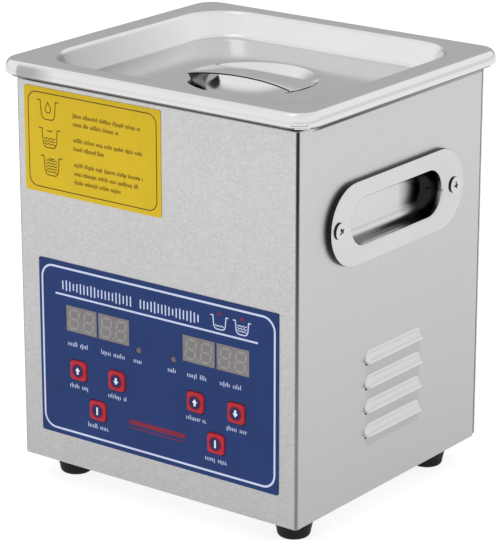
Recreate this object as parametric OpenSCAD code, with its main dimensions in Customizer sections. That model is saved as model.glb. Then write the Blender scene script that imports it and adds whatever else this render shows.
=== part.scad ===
// Bench-top ultrasonic cleaner: pressed lid, drawn tank, bent steel case, keypad and sound driver.
// Frame: origin at the centre of the base on the floor, +X to the right seen from the front,
// the front faces -Y, +Z up. All sizes are in millimetres.

/* [Case] */
// Width of the steel case
case_w = 162; // [140:1:200]
// Depth of the steel case
case_d = 149; // [120:1:180]
// Height of the steel case without its feet
case_h = 186; // [160:1:220]
// Thickness of the case sheet
sheet = 0.8; // [0.6:0.1:1.2]
// Outside radius of the case bends
bend_r = 2; // [1.5:0.5:4]
// Height of the feet
foot_h = 12; // [8:0.5:20]

/* [Lid] */
// Width over the rolled edge of the lid
lid_w = 178; // [170:1:200]
// Depth over the rolled edge of the lid
lid_d = 161; // [155:1:180]
// Corner radius of the lid
lid_r = 12; // [8:1:20]
// Radius of the rolled edge of the lid
lid_roll = 4.5; // [3:0.5:5]
// Thickness of the lid sheet
lid_t = 0.6; // [0.5:0.1:1]
// Width of the recess in the lid
recess_w = 147; // [130:0.5:147]
// Depth, front to back, of the recess in the lid
recess_d = 133; // [120:0.5:133]
// Corner radius of the recess
recess_r = 23.5; // [20:0.5:30]
// How far the recess floor lies under the lid's top
recess_h = 12; // [8:0.5:15]
// Diameter of the finger dish
dish_d = 61.5; // [50:0.5:70]
// Depth of the finger dish
dish_h = 9; // [6:0.5:12]
// Width of the lid strap at its middle
strap_w = 14; // [10:0.5:18]
// Width of the lid strap at its ends
strap_end_w = 20; // [16:0.5:26]
// How far the strap is arched
strap_arch = 2; // [1:0.5:4]

/* [Tank] */
// Width of the tank's opening
tank_w = 150; // [150:1:156]
// Depth, front to back, of the tank's opening
tank_d = 135; // [135:1:140]
// How deep the tank is
tank_h = 100; // [80:1:120]
// Corner radius of the tank's opening
tank_r = 25; // [20:1:30]
// Slope of the tank's walls in degrees
tank_draft = 4; // [2:0.5:5]
// Radius between the tank's walls and its floor
tank_fillet = 8; // [5:0.5:12]
// Thickness of the tank sheet
tank_t = 0.8; // [0.6:0.1:1.2]

/* [Basket] */
// Width of the rinsing basket at its rim
basket_w = 128; // [100:1:130]
// Depth, front to back, of the rinsing basket at its rim
basket_d = 113; // [90:1:115]
// Height of the rinsing basket
basket_h = 48; // [30:1:55]

/* [Side handles] */
// Length of the handle plate
grip_w = 108.5; // [90:0.5:120]
// Height of the handle plate
grip_h = 39; // [30:0.5:45]
// How far the handle plate stands out of the case
grip_out = 2.5; // [1.5:0.5:3]
// Length of the finger cup's mouth
cup_w = 73.5; // [60:0.5:80]
// Height of the finger cup's mouth
cup_h = 22; // [18:0.5:26]
// Depth of the finger cup from the plate's face
cup_deep = 10; // [6:0.5:10]
// Height of the handle's centre over the floor
grip_z = 147; // [135:0.5:155]

/* [Louvres] */
// Number of louvres on each side
louvre_count = 4; // [2:1:5]
// Length of a louvre
louvre_w = 46; // [30:1:60]
// Height of a louvre
louvre_h = 7; // [5:0.5:8]
// How far a louvre stands out
louvre_out = 3; // [2:0.5:4]
// Distance from one louvre to the next
louvre_pitch = 12; // [10:0.5:15]
// Height of the lowest louvre's lip over the floor
louvre_z = 41.0; // [35:0.1:50]
// Distance of the louvres' middle behind the case's middle
louvre_y = 1.4; // [-5:0.1:5]

/* [Front] */
// Width of the control panel overlay
panel_w = 140; // [120:0.5:150]
// Height of the control panel overlay
panel_h = 86.6; // [70:0.1:90]
// Height of the control panel's centre over the floor
panel_z = 70.2; // [60:0.1:75]
// Width of the care label
label_w = 81; // [60:0.5:90]
// Height of the care label
label_h = 50.3; // [40:0.1:60]
// Height of the care label's centre over the floor
label_z = 170.7; // [160:0.1:172]
// Side of a square key
key_w = 9.8; // [8:0.1:12]
// Travel of a key
key_travel = 0.6; // [0.3:0.1:0.6]

/* [Inside] */
// Diameter of the transducer's ceramic rings
piezo_d = 38; // [30:1:50]
// Side of the cooling fan
fan_w = 60; // [50:10:60]
// How far the fuse drawer pulls out
drawer_travel = 15; // [10:1:18]

/* [Hidden] */
$fn = 48;
eps = 0.01;
case_z = foot_h;
case_top = foot_h + case_h;
wall_x = case_w / 2;
wall_y = case_d / 2;
gasket_gap = 1;
rim_h = 2.2;
rim_top = case_top + gasket_gap + rim_h;
rim_w = 174;
rim_d = 157;
rim_r = 11;
lid_gap = 0.3;
lid_low = rim_top + lid_gap;
lid_top = lid_low + 5.5;
recess_z = lid_top - recess_h;
dish_r = dish_d / 2;
dish_ball = (dish_r * dish_r + dish_h * dish_h) / (2 * dish_h);
strap_t = 1.2;
tank_floor = rim_top - tank_h;
tank_under = tank_floor - tank_t;
tank_mid_x = tank_w / 2 - tank_r;
tank_mid_y = tank_d / 2 - tank_r;
base_z = case_z + sheet;
flange = 8;
foot_x = 65.5;
foot_y = 55;
foot_r = 10.2;
back_in = wall_y - sheet;
grip_r = grip_h / 2;
cup_r = cup_h / 2;
cup_fillet = 6;
grip_t = 0.6;
grip_screw = 46.3;
overlay_t = 0.5;
label_x = -35.4;
label_t = 0.3;
key_proud = 0.9;
panel_x = 1;
key_gap = 0.3;
key_z_top = panel_z - 8.8;
key_z_low = panel_z - 26.3;
window_w = 18.5;
window_h = 12.7;
window_z = panel_z + 16.2;
light_x = 10.2;
light_z = panel_z + 9;
light_d = 3.4;
board_y = -62;
board_t = 1.6;
switch_h = 4;
driver_z = 22;
block_h = 9;
sonic_r = 22.5;
piezo_t = 5;
front_mass_h = 22;
back_mass_h = 18;
tab_t = 0.4;
fan_x = -34;
fan_z = 57;
fan_t = 15;
fan_bore = 28.5;
fan_hole = 25;
inlet_x = 44;
inlet_z = 48;
drawer_z = inlet_z - 9.6;
socket_z = inlet_z + 5.5;

steel = [0.74, 0.74, 0.75];
bright = [0.86, 0.86, 0.87];
rubber_black = [0.06, 0.06, 0.06];
plastic_black = [0.09, 0.09, 0.1];
board_green = [0.07, 0.3, 0.16];
copper = [0.78, 0.48, 0.27];

// ---------- shared shapes ----------

// A flat rectangle with round corners.
module round_rect(w, d, r) {
  square([w - 2 * r, d], center = true);
  square([w, d - 2 * r], center = true);
  for (sx = [-1, 1], sy = [-1, 1])
    translate([sx * (w / 2 - r), sy * (d / 2 - r)])
      circle(r);
}

// A frame of flat sheet between two round rectangles.
module round_frame(w, d, r, w2, d2, r2, h) {
  linear_extrude(h)
    difference() {
      round_rect(w, d, r);
      round_rect(w2, d2, r2);
    }
}

// Sweeps a wall section, drawn from the corner's centre outwards, around a round rectangle.
module swept_wall(w, d, r) {
  for (c = [[1, 1, 0], [-1, 1, 90], [-1, -1, 180], [1, -1, 270]])
    translate([c[0] * (w / 2 - r), c[1] * (d / 2 - r), 0])
      rotate([0, 0, c[2]])
        rotate_extrude(angle = 90)
          children();
  for (s = [0, 180]) {
    rotate([0, 0, s])
      translate([w / 2 - r, d / 2 - r, 0])
        rotate([90, 0, 0])
          linear_extrude(d - 2 * r)
            children();
    rotate([0, 0, s + 90])
      translate([d / 2 - r, w / 2 - r, 0])
        rotate([90, 0, 0])
          linear_extrude(w - 2 * r)
            children();
  }
}

// Sweeps a section, drawn from the slot's centre line outwards, around a slot shape.
module swept_slot(w, h) {
  for (a = [0, 180])
    rotate([0, 0, a]) {
      translate([(w - h) / 2, 0, 0])
        rotate([0, 0, -90])
          rotate_extrude(angle = 180)
            children();
      translate([-(w - h) / 2, 0, 0])
        rotate([90, 0, 90])
          linear_extrude(w - h)
            children();
    }
}

// A quarter of a bent sheet, seen in section: outside radius r, thickness t.
module bend(r, t) {
  intersection() {
    difference() {
      circle(r);
      circle(r - t);
    }
    square(r + 1);
  }
}

// A slot shape with round ends.
module stadium(w, h) {
  square([w - h, h], center = true);
  for (s = [-1, 1])
    translate([s * (w - h) / 2, 0])
      circle(h / 2);
}

// Turns a shape drawn flat so that it faces the front (-Y), with its own up along +Z.
module on_front(y) {
  translate([0, y, 0])
    rotate([90, 0, 0])
      children();
}

// Turns a shape drawn flat so that it faces the back (+Y).
module on_back(y) {
  translate([0, y, 0])
    rotate([90, 0, 180])
      children();
}

// Turns a shape drawn flat so that it faces the right side (+X).
module on_right(x) {
  translate([x, 0, 0])
    rotate([90, 0, 90])
      children();
}

// A pan head screw along +Z: the head stands over z = 0 and the shank hangs below it.
module pan_screw(head_d, head_h, shank_d, length) {
  difference() {
    union() {
      cylinder(h = head_h * 0.55, d = head_d);
      translate([0, 0, head_h * 0.55])
        cylinder(h = head_h * 0.45, d1 = head_d, d2 = head_d * 0.62);
    }
    translate([0, 0, head_h * 0.45]) {
      translate([-head_d * 0.3, -head_d * 0.06, 0])
        cube([head_d * 0.6, head_d * 0.12, head_h]);
      translate([-head_d * 0.06, -head_d * 0.3, 0])
        cube([head_d * 0.12, head_d * 0.6, head_h]);
    }
  }
  translate([0, 0, -length])
    cylinder(h = length + eps, d = shank_d);
}

// A straight piece of wire between two points.
module wire(a, b, d) {
  v = b - a;
  length = norm(v);
  translate(a)
    rotate([0, acos(v[2] / length), atan2(v[1], v[0])])
      cylinder(h = length, d = d, $fn = 24);
}

// A lead that drops from a, crosses at height level and drops again to b.
module drop_lead(a, b, level, d) {
  r = 3;
  run = norm([b[0] - a[0], b[1] - a[1]]);
  translate([a[0], a[1], 0])
    rotate([0, 0, atan2(b[1] - a[1], b[0] - a[0])]) {
      translate([0, 0, level + r])
        cylinder(h = a[2] - level - r, d = d, $fn = 24);
      translate([r, 0, level + r])
        rotate([90, 180, 0])
          rotate_extrude(angle = 90)
            translate([r, 0])
              circle(d = d, $fn = 24);
      translate([r, 0, level])
        rotate([0, 90, 0])
          cylinder(h = run - 2 * r, d = d, $fn = 24);
      translate([run - r, 0, level - r])
        rotate([90, 0, 0])
          rotate_extrude(angle = 90)
            translate([r, 0])
              circle(d = d, $fn = 24);
      translate([run, 0, b[2]])
        cylinder(h = level - r - b[2], d = d, $fn = 24);
    }
}

// ---------- case ----------

// The section of a louvre's round back, drawn outwards and up from its lip.
module louvre_arc(t) {
  r = (louvre_h * louvre_h + louvre_out * louvre_out) / (2 * louvre_out);
  intersection() {
    translate([louvre_out - r, 0])
      circle(r - t, $fn = 96);
    translate([-sheet, -eps * (t > 0 ? 1 : 0)])
      square([louvre_out + sheet, louvre_h]);
  }
}

// One pressed louvre on the right wall, open at its bottom.
module louvre() {
  difference() {
    translate([0, louvre_w / 2, 0])
      rotate([90, 0, 0])
        linear_extrude(louvre_w)
          louvre_arc(0);
    translate([0, louvre_w / 2 - sheet, 0])
      rotate([90, 0, 0])
        linear_extrude(louvre_w - 2 * sheet)
          louvre_arc(sheet);
  }
}

// The opening behind a louvre.
module louvre_hole() {
  translate([-sheet - 1, -louvre_w / 2 + sheet, 0])
    cube([sheet + 1 + eps, louvre_w - 2 * sheet, louvre_h - 2.2]);
}

module side_louvres() {
  for (i = [0 : louvre_count - 1])
    translate([wall_x, louvre_y, louvre_z + i * louvre_pitch])
      children();
}

// The bent sheet: front, both sides and the flanges that hold the tank, base and back.
module wrap_sheet() {
  translate([0, -sheet / 2, case_z])
    round_frame(case_w, case_d - sheet, bend_r, case_w - 2 * sheet, case_d - 3 * sheet, bend_r - sheet,
                case_h);
  for (z = [case_z, case_top - sheet])
    translate([0, 0, z])
      linear_extrude(sheet)
        difference() {
          translate([0, -sheet / 2])
            square([case_w - 2 * sheet, case_d - 3 * sheet], center = true);
          if (z == case_z)
            translate([0, flange])
              square([case_w - 2 * sheet - 2 * flange + 1.6, case_d], center = true);
          else
            round_rect(case_w - 9, case_d - 9, 8);
        }
}

// Everything that is cut out of the sheet.
module wrap_cuts() {
  translate([-wall_x + 10, back_in - 12, case_z - 1])
    cube([case_w - 20, 20, case_h + 2]);
  for (s = [0, 1])
    mirror([s, 0, 0]) {
      side_louvres()
        louvre_hole();
      translate([0, 0, grip_z])
        on_right(wall_x - sheet - 1)
          linear_extrude(sheet + 2)
            stadium(cup_w + 4, cup_h + 4);
      for (y = [-grip_screw, grip_screw])
        translate([wall_x - 2, y, grip_z])
          rotate([0, 90, 0])
            cylinder(h = 4, d = 4.4);
      for (z = back_screw_z)
        translate([back_screw_x, back_in + 1, z])
          rotate([90, 0, 0])
            cylinder(h = 4, d = 3.2);
      for (y = [-base_screw_y, base_screw_y])
        translate([base_screw_x, y, case_z - 1])
          cylinder(h = 3, d = 3.4);
      for (y = [-foot_y, foot_y])
        translate([foot_x, y, case_z - 1])
          cylinder(h = 1 + sheet + 0.1, r = foot_r + 0.4);
    }
  on_front(-wall_y + sheet + 1)
    linear_extrude(sheet + 2) {
      for (k = key_spots)
        translate(k)
          square(key_w + 2 * key_gap + 0.4, center = true);
      for (s = [-1, 1])
        translate([panel_x + s * 34.75, window_z])
          square([window_spots[3] - window_spots[2] + window_w + 0.6, window_h + 0.6], center = true);
      for (x = [-light_x, light_x])
        translate([panel_x + x, light_z])
          circle(d = light_d + 0.4);
    }
}

key_spots = [[panel_x - 46.6, key_z_top], [panel_x - 23.3, key_z_top],
             [panel_x + 23.3, key_z_top], [panel_x + 46.6, key_z_top],
             [panel_x - 35, key_z_low], [panel_x + 35, key_z_low]];
window_spots = [panel_x - 44.5, panel_x - 25, panel_x + 25, panel_x + 44.5];
back_screw_x = wall_x - 5;
back_screw_z = [case_z + 18, case_z + 93, case_z + 168];
base_screw_x = wall_x - 4.6;
base_screw_y = 30;

module case_wrap() {
  color(steel) {
    difference() {
      wrap_sheet();
      wrap_cuts();
    }
    for (s = [0, 1])
      mirror([s, 0, 0])
        side_louvres()
          louvre();
  }
}

// Plain plate that closes the back, with a folded top edge.
module back_panel() {
  color(steel)
    difference() {
      union() {
        translate([0, 0, case_z + 0.4])
          on_back(back_in)
            translate([0, (case_h - 0.8) / 2, 0])
              linear_extrude(sheet)
                round_rect(case_w - 0.8, case_h - 0.8, 1.5);
        translate([-70, back_in - 4.6, case_top - sheet - 0.4])
          cube([140, 4.6 + eps, sheet]);
      }
      translate([fan_x, wall_y + 1, fan_z])
        rotate([90, 0, 0])
          cylinder(h = 4, r = fan_bore - 1.5);
      for (sx = [-1, 1], sz = [-1, 1])
        translate([fan_x + sx * fan_hole, wall_y + 1, fan_z + sz * fan_hole])
          rotate([90, 0, 0])
            cylinder(h = 4, d = 4.3);
      translate([inlet_x - 13.7, back_in - 1, inlet_z - 15.7])
        cube([27.4, 4, 31.4]);
      for (s = [-1, 1], z = back_screw_z)
        translate([s * back_screw_x, wall_y + 1, z])
          rotate([90, 0, 0])
            cylinder(h = 4, d = 3.2);
    }
}

// Bottom tray that carries the feet and the driver board.
module base_plate() {
  w = case_w - 2 * sheet - 0.6;
  d = case_d - 3 * sheet - 0.8;
  color(steel)
    translate([0, -sheet / 2, 0])
      difference() {
        union() {
          translate([0, 0, base_z])
            linear_extrude(sheet)
              round_rect(w, d, 1.2);
          translate([0, 0, base_z])
            round_frame(w, d, 1.2, w - 2 * sheet, d - 2 * sheet, 0.4, 8);
        }
        for (sx = [-1, 1], sy = [-1, 1]) {
          translate([sx * foot_x, sy * foot_y + sheet / 2, base_z - 1])
            cylinder(h = 3, d = 4.2);
          translate([sx * base_screw_x, sy * base_screw_y + sheet / 2, base_z - 1])
            cylinder(h = 3, d = 2.9 + 0.3);
        }
        for (i = [-2 : 2])
          translate([i * 9, 38, base_z - 1])
            linear_extrude(3)
              rotate(90)
                stadium(30, 3.4);
      }
}

module case_screws() {
  color(bright) {
    for (s = [-1, 1], z = back_screw_z)
      translate([s * back_screw_x, wall_y, z])
        rotate([-90, 0, 0])
          pan_screw(5.6, 2, 3, 6);
    for (sx = [-1, 1], sy = [-1, 1])
      translate([sx * base_screw_x, sy * base_screw_y, case_z])
        rotate([180, 0, 0])
          pan_screw(5.6, 2, 3, 5);
  }
}

// ---------- feet ----------

// A tapered rubber foot with a sunk seat for its screw.
module foot(sx, sy) {
  color(rubber_black)
    translate([sx * foot_x, sy * foot_y, 0])
      difference() {
        union() {
          translate([0, 0, 1])
            cylinder(h = base_z - 1, r1 = 8.7, r2 = foot_r);
          cylinder(h = 1 + eps, r1 = 7.6, r2 = 8.7);
        }
        translate([0, 0, -1])
          cylinder(h = 6.5, r = 4.2);
        cylinder(h = 20, d = 4.2);
      }
}

module foot_screws() {
  color(bright)
    for (sx = [-1, 1], sy = [-1, 1])
      translate([sx * foot_x, sy * foot_y, 5.5])
        rotate([180, 0, 0])
          pan_screw(7.4, 2.6, 4, 12);
}

// ---------- tank ----------

// The tank's wall and floor in section, drawn from the corner's centre outwards.
module tank_section(in) {
  s = sin(tank_draft);
  c = cos(tank_draft);
  r = tank_fillet - in;
  cz = tank_floor + tank_fillet;
  cx = tank_r + (-tank_fillet + s * (cz - rim_top)) / c;
  polygon([[0, tank_floor + in], [cx, tank_floor + in], [cx, cz],
           [cx + r * c, cz - r * s], [tank_r - in / c, rim_top], [0, rim_top]]);
  intersection() {
    translate([cx, cz])
      circle(r, $fn = 96);
    polygon([[cx, cz + eps], [cx, tank_floor - 5], [cx + 20, tank_floor - 5],
             [cx + r * c * 2, cz - r * s * 2]]);
  }
}

module tank_wall() {
  difference() {
    tank_section(-tank_t);
    tank_section(0);
  }
}

// Deep-drawn tank with a hemmed rim.
module tank() {
  color(bright) {
    swept_wall(tank_w, tank_d, tank_r)
      tank_wall();
    translate([-tank_mid_x, -tank_mid_y, tank_under])
      cube([2 * tank_mid_x, 2 * tank_mid_y, tank_t]);
    translate([0, 0, rim_top - tank_t])
      round_frame(rim_w, rim_d, rim_r, tank_w, tank_d, tank_r, tank_t);
    translate([0, 0, rim_top - rim_h])
      round_frame(rim_w, rim_d, rim_r, rim_w - 2 * tank_t, rim_d - 2 * tank_t, rim_r - tank_t, rim_h);
  }
}

// Rubber ring between the case's top flange and the tank's rim.
module rim_gasket() {
  color(rubber_black)
    translate([0, 0, case_top])
      round_frame(case_w - 1, case_d - 1, 4, tank_w + 4, tank_d + 4, tank_r + 1, gasket_gap + rim_h - tank_t);
}

module heater_pads() {
  color([0.62, 0.25, 0.1])
    for (s = [-1, 1])
      translate([s * 45, 0, tank_under - 1.5])
        linear_extrude(1.5)
          round_rect(32, 88, 4);
}

module thermal_cutout() {
  color([0.85, 0.82, 0.74])
    translate([0, -40, tank_under - 6]) {
      cylinder(h = 6, d = 15);
      translate([-11, -3, 4.6])
        cube([22, 6, 1.4]);
    }
}

module temp_sensor() {
  color(copper)
    translate([0, 40, tank_under]) {
      translate([-7, -4, -1])
        cube([14, 8, 1]);
      translate([-7, 0, -3])
        rotate([0, 90, 0])
          cylinder(h = 14, d = 4);
    }
}

// ---------- lid and basket ----------

// Rolled outer edge of the lid in section.
module lid_edge() {
  translate([lid_r - lid_roll, lid_top - lid_roll])
    bend(lid_roll, lid_t);
  translate([lid_r - lid_t, lid_low])
    square([lid_t, lid_top - lid_roll - lid_low]);
}

// Mouth bend, wall and floor bend of the recess in section.
module recess_edge() {
  mouth = 2;
  low = 4.5;
  translate([recess_r + mouth, lid_top - mouth])
    mirror([1, 0])
      bend(mouth, lid_t);
  translate([recess_r, recess_z + low])
    square([lid_t, recess_h - mouth - low]);
  translate([recess_r - low, recess_z + low])
    mirror([0, 1])
      bend(low + lid_t, lid_t);
  translate([0, recess_z - lid_t])
    square([recess_r - low, lid_t]);
}

// Pressed lid: rolled edge, flat flange, recess that drops into the tank, round finger dish.
module lid() {
  color(bright)
    difference() {
      union() {
        swept_wall(lid_w, lid_d, lid_r)
          lid_edge();
        translate([0, 0, lid_top - lid_t])
          round_frame(lid_w - 2 * lid_roll, lid_d - 2 * lid_roll, lid_r - lid_roll,
                      recess_w + 4, recess_d + 4, recess_r + 2, lid_t);
        swept_wall(recess_w, recess_d, recess_r)
          recess_edge();
        translate([-recess_w / 2 + recess_r, -recess_d / 2 + recess_r, recess_z - lid_t])
          cube([recess_w - 2 * recess_r, recess_d - 2 * recess_r, lid_t]);
        intersection() {
          translate([0, 0, recess_z - dish_h + dish_ball])
            sphere(dish_ball + lid_t, $fn = 96);
          translate([0, 0, recess_z - 20])
            cylinder(h = 20, r = dish_r + 3);
        }
      }
      translate([0, 0, recess_z - dish_h + dish_ball])
        sphere(dish_ball, $fn = 96);
    }
}

// Arched strap across the dish, narrow in the middle and flared at its ends.
module lid_strap() {
  reach = dish_r + 0.8;
  flare = (strap_end_w - strap_w) / 2;
  side_r = (reach * reach + flare * flare) / (2 * flare);
  arch_r = (reach * reach + strap_arch * strap_arch) / (2 * strap_arch);
  color(bright)
    intersection() {
      translate([0, 0, recess_z - 1])
        linear_extrude(strap_arch + 4)
          difference() {
            circle(reach, $fn = 96);
            for (s = [-1, 1])
              translate([0, s * (side_r + strap_w / 2)])
                circle(side_r, $fn = 192);
          }
      translate([0, 20, 0])
        rotate([90, 0, 0])
          linear_extrude(40)
            translate([0, recess_z + strap_arch - arch_r])
              difference() {
                circle(arch_r + strap_t, $fn = 192);
                circle(arch_r, $fn = 192);
                translate([-arch_r * 2, -arch_r * 2])
                  square([arch_r * 4, arch_r * 3 - strap_arch]);
              }
    }
}

// The basket's wall, rolled rim and floor in section.
module basket_section() {
  r = 14;
  low = 5;
  z = tank_floor + 4;
  translate([r - low, z + low])
    mirror([0, 1])
      bend(low, tank_t);
  translate([r - tank_t, z + low])
    square([tank_t, basket_h - low]);
  translate([0, z])
    square([r - low, tank_t]);
  translate([r - tank_t, z + basket_h - 2.4])
    square([2.4, 2.4]);
}

// Perforated rinsing basket on four pressed studs.
module basket() {
  z = tank_floor + 4;
  r = 14;
  color(steel)
    difference() {
      union() {
        swept_wall(basket_w, basket_d, r)
          basket_section();
        translate([-basket_w / 2 + r, -basket_d / 2 + r, z])
          cube([basket_w - 2 * r, basket_d - 2 * r, tank_t]);
        for (sx = [-1, 1], sy = [-1, 1])
          translate([sx * 44, sy * 36, tank_floor + lid_gap])
            cylinder(h = 4 - lid_gap + eps, d = 8);
      }
      for (i = [-4 : 4], j = [-2 : 2])
        translate([i * 9, j * 16, z - 1])
          linear_extrude(3)
            rotate(90)
              stadium(11, 3.5);
      for (s = [-1, 1], i = [-4 : 4], k = [0, 1])
        translate([i * 10, s * basket_d / 2, z + 12 + k * 15])
          rotate([90, 0, 0])
            translate([0, 0, -3])
              linear_extrude(6)
                rotate(90)
                  stadium(11, 3.5);
      for (s = [-1, 1], i = [-3 : 3], k = [0, 1])
        translate([s * basket_w / 2, i * 11, z + 12 + k * 15])
          rotate([90, 0, 90])
            translate([0, 0, -3])
              linear_extrude(6)
                rotate(90)
                  stadium(11, 3.5);
    }
}

// Two wire bails that lift the basket out.
module basket_bails() {
  d = 2.6;
  x = basket_w / 2 + 3;
  low = tank_floor + 4 + basket_h - 12;
  high = recess_z - 12;
  color(bright)
    for (s = [-1, 1]) {
      for (t = [-1, 1]) {
        wire([s * x, t * 26, low], [s * x, t * 26, high], d);
        translate([s * x, t * 26, high])
          sphere(d = d, $fn = 24);
        wire([s * x, t * 26, low + 6.5], [s * (x - 3), t * 26, low + 6.5], d);
      }
      wire([s * x, -26, high], [s * x, 26, high], d);
      translate([s * x, -26, low])
        sphere(d = d, $fn = 24);
      translate([s * x, 26, low])
        sphere(d = d, $fn = 24);
    }
}

// ---------- side handles ----------

// Mouth bend, wall, floor bend and floor of the finger cup in section.
module cup_section() {
  lip = 1.6;
  translate([cup_r + lip, grip_out - lip])
    mirror([1, 0])
      bend(lip, grip_t);
  translate([cup_r, grip_out - cup_deep + cup_fillet])
    square([grip_t, cup_deep - lip - cup_fillet]);
  translate([cup_r - cup_fillet, grip_out - cup_deep + cup_fillet])
    mirror([0, 1])
      bend(cup_fillet + grip_t, grip_t);
  translate([0, grip_out - cup_deep - grip_t])
    square([cup_r - cup_fillet, grip_t]);
}

// Handle plate with its finger cup, drawn flat: the plate's foot lies on z = 0.
module handle_shape() {
  lip = 1.6;
  difference() {
    union() {
      swept_slot(grip_w, grip_h)
        translate([grip_r - grip_out, 0])
          bend(grip_out, grip_t);
      translate([0, 0, grip_out - grip_t])
        linear_extrude(grip_t)
          difference() {
            stadium(grip_w - 2 * grip_out, grip_h - 2 * grip_out);
            stadium(cup_w + 2 * lip, cup_h + 2 * lip);
          }
      swept_slot(cup_w, cup_h)
        cup_section();
    }
    for (s = [-1, 1])
      translate([s * grip_screw, 0, 0])
        cylinder(h = 5, d = 4.3);
  }
}

module handle(side) {
  color(bright)
    mirror([side < 0 ? 1 : 0, 0, 0])
      translate([0, 0, grip_z])
        on_right(wall_x)
          handle_shape();
}

module handle_screws() {
  color(steel)
    for (s = [0, 1], y = [-grip_screw, grip_screw])
      mirror([s, 0, 0])
        translate([wall_x + grip_out, y, grip_z])
          rotate([0, 90, 0])
            pan_screw(7.8, 2.6, 4, 7.6);
}

module handle_nuts() {
  color(bright)
    for (s = [0, 1], y = [-grip_screw, grip_screw])
      mirror([s, 0, 0])
        translate([wall_x - sheet - 3.2, y, grip_z])
          rotate([0, 90, 0])
            difference() {
              cylinder(h = 3.2, d = 8.1, $fn = 6);
              translate([0, 0, -1])
                cylinder(h = 6, d = 4.1);
            }
}

// ---------- front ----------

module care_label() {
  color([0.93, 0.8, 0.28])
    translate([label_x, 0, label_z])
      on_front(-wall_y)
        linear_extrude(label_t)
          round_rect(label_w, label_h, 1.2);
}

// Printed plastic sheet with openings for keys, displays and lights.
module panel_overlay() {
  color([0.2, 0.27, 0.6])
    on_front(-wall_y)
      linear_extrude(overlay_t)
        difference() {
          translate([panel_x, panel_z])
            round_rect(panel_w, panel_h, 0.8);
          for (k = key_spots)
            translate(k)
              round_rect(key_w + 2 * key_gap, key_w + 2 * key_gap, 2.3);
          for (x = window_spots)
            translate([x, window_z])
              square([window_w + 0.1, window_h + 0.1], center = true);
          for (x = [-light_x, light_x])
            translate([panel_x + x, light_z])
              circle(d = light_d + 0.1);
        }
}

// Two-digit display that fills its window from the board outwards.
module display(x) {
  color([0.55, 0.53, 0.5]) {
    translate([x - window_w / 2, -wall_y - overlay_t + 0.1, window_z - window_h / 2])
      cube([window_w, wall_y + overlay_t + board_y - 1.1, window_h]);
    for (i = [-2 : 2], s = [-1, 1])
      translate([x + i * 2.54, board_y - 1 - eps, window_z + s * 5])
        rotate([-90, 0, 0])
          cylinder(h = 1, d = 0.7, $fn = 16);
  }
}

module light(x) {
  front = -wall_y - overlay_t;
  color([0.75, 0.2, 0.15])
    translate([panel_x + x, front, light_z])
      rotate([-90, 0, 0]) {
        cylinder(h = board_y - front, d = light_d);
        translate([0, 0, board_y - front - 1])
          cylinder(h = 1, d = 4.2);
      }
}

// A square key cap with the stem that reaches its switch.
module key(spot) {
  front = -wall_y - overlay_t - key_proud;
  color([0.72, 0.12, 0.12])
    translate([spot[0], 0, spot[1]]) {
      on_front(front + 3)
        linear_extrude(3)
          round_rect(key_w, key_w, 2);
      translate([0, front + 3 - eps, 0])
        rotate([-90, 0, 0])
          cylinder(h = board_y - switch_h - 1 - front - 3, d = 4);
    }
}

module key_switches() {
  color(plastic_black)
    for (k = key_spots) {
      translate([k[0] - 3, board_y - switch_h + 0.6, k[1] - 3])
        cube([6, switch_h - 0.6, 6]);
      translate([k[0], board_y - switch_h, k[1]])
        rotate([-90, 0, 0])
          cylinder(h = 1, d = 3.4);
    }
}

board_x = 62;
board_low = 31;
board_high = 95;
standoff_z = [board_low + 3, board_high - 3];

module control_board() {
  color(board_green) {
    difference() {
      translate([-board_x, board_y, board_low])
        cube([2 * board_x, board_t, board_high - board_low]);
      for (s = [-1, 1], z = standoff_z)
        translate([s * (board_x - 3.5), board_y - 1, z])
          rotate([-90, 0, 0])
            cylinder(h = 4, d = 3.2);
    }
    for (x = [-18, 14])
      translate([x, board_y + board_t, 60])
        cube([14, 2, 14]);
    translate([-11, board_y + board_t, 36])
      cube([22, 5, 6]);
  }
}

// Hexagonal spacers of both boards.
module standoffs() {
  color([0.8, 0.68, 0.35]) {
    for (s = [-1, 1], z = standoff_z)
      translate([s * (board_x - 3.5), -wall_y + sheet, z])
        rotate([-90, 0, 0]) {
          cylinder(h = wall_y - sheet + board_y, d = 5.5, $fn = 6);
          cylinder(h = wall_y - sheet + board_y + board_t + 1.5, d = 3);
        }
    for (x = [-52, 52], y = [-34, 34])
      translate([x, y, base_z + sheet]) {
        cylinder(h = driver_z - base_z - sheet, d = 6, $fn = 6);
        cylinder(h = driver_z - base_z - sheet + board_t + 1.5, d = 3);
      }
  }
}

// Flat cable from the control board down to the driver board.
module ribbon_cable() {
  color([0.7, 0.7, 0.72])
    translate([-10, 0, 0])
      rotate([90, 0, 90])
        linear_extrude(20)
          polygon([[-55.4, 38.4], [-51, 38.4], [-51, 27.7], [-42, 27.7], [-42, 28.7],
                   [-50, 28.7], [-50, 39.4], [-55.4, 39.4]]);
}

// ---------- driver electronics ----------

module driver_board() {
  color(board_green) {
    difference() {
      translate([-56, -46, driver_z])
        cube([112, 84, board_t]);
      for (x = [-52, 52], y = [-34, 34])
        translate([x, y, driver_z - 1])
          cylinder(h = 4, d = 3.2);
    }
    translate([-11, -42, driver_z + board_t])
      cube([22, 6, 6]);
    translate([4, 28, driver_z + board_t])
      cube([32, 8, block_h]);
  }
}

module transformer() {
  z = driver_z + board_t;
  color([0.16, 0.16, 0.17]) {
    translate([-50, -26, z + 4])
      difference() {
        cube([26, 30, 24]);
        translate([-1, 6, 5])
          cube([28, 18, 14]);
      }
    translate([-52, -19.9, z])
      cube([30, 17.8, 26]);
  }
}

module heat_sink() {
  z = driver_z + board_t;
  color([0.55, 0.56, 0.58]) {
    translate([26, -28, z])
      cube([26, 3, 30]);
    for (i = [0 : 6])
      translate([26 + i * 4, -25 - eps, z])
        cube([2, 14, 30]);
  }
}

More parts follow.
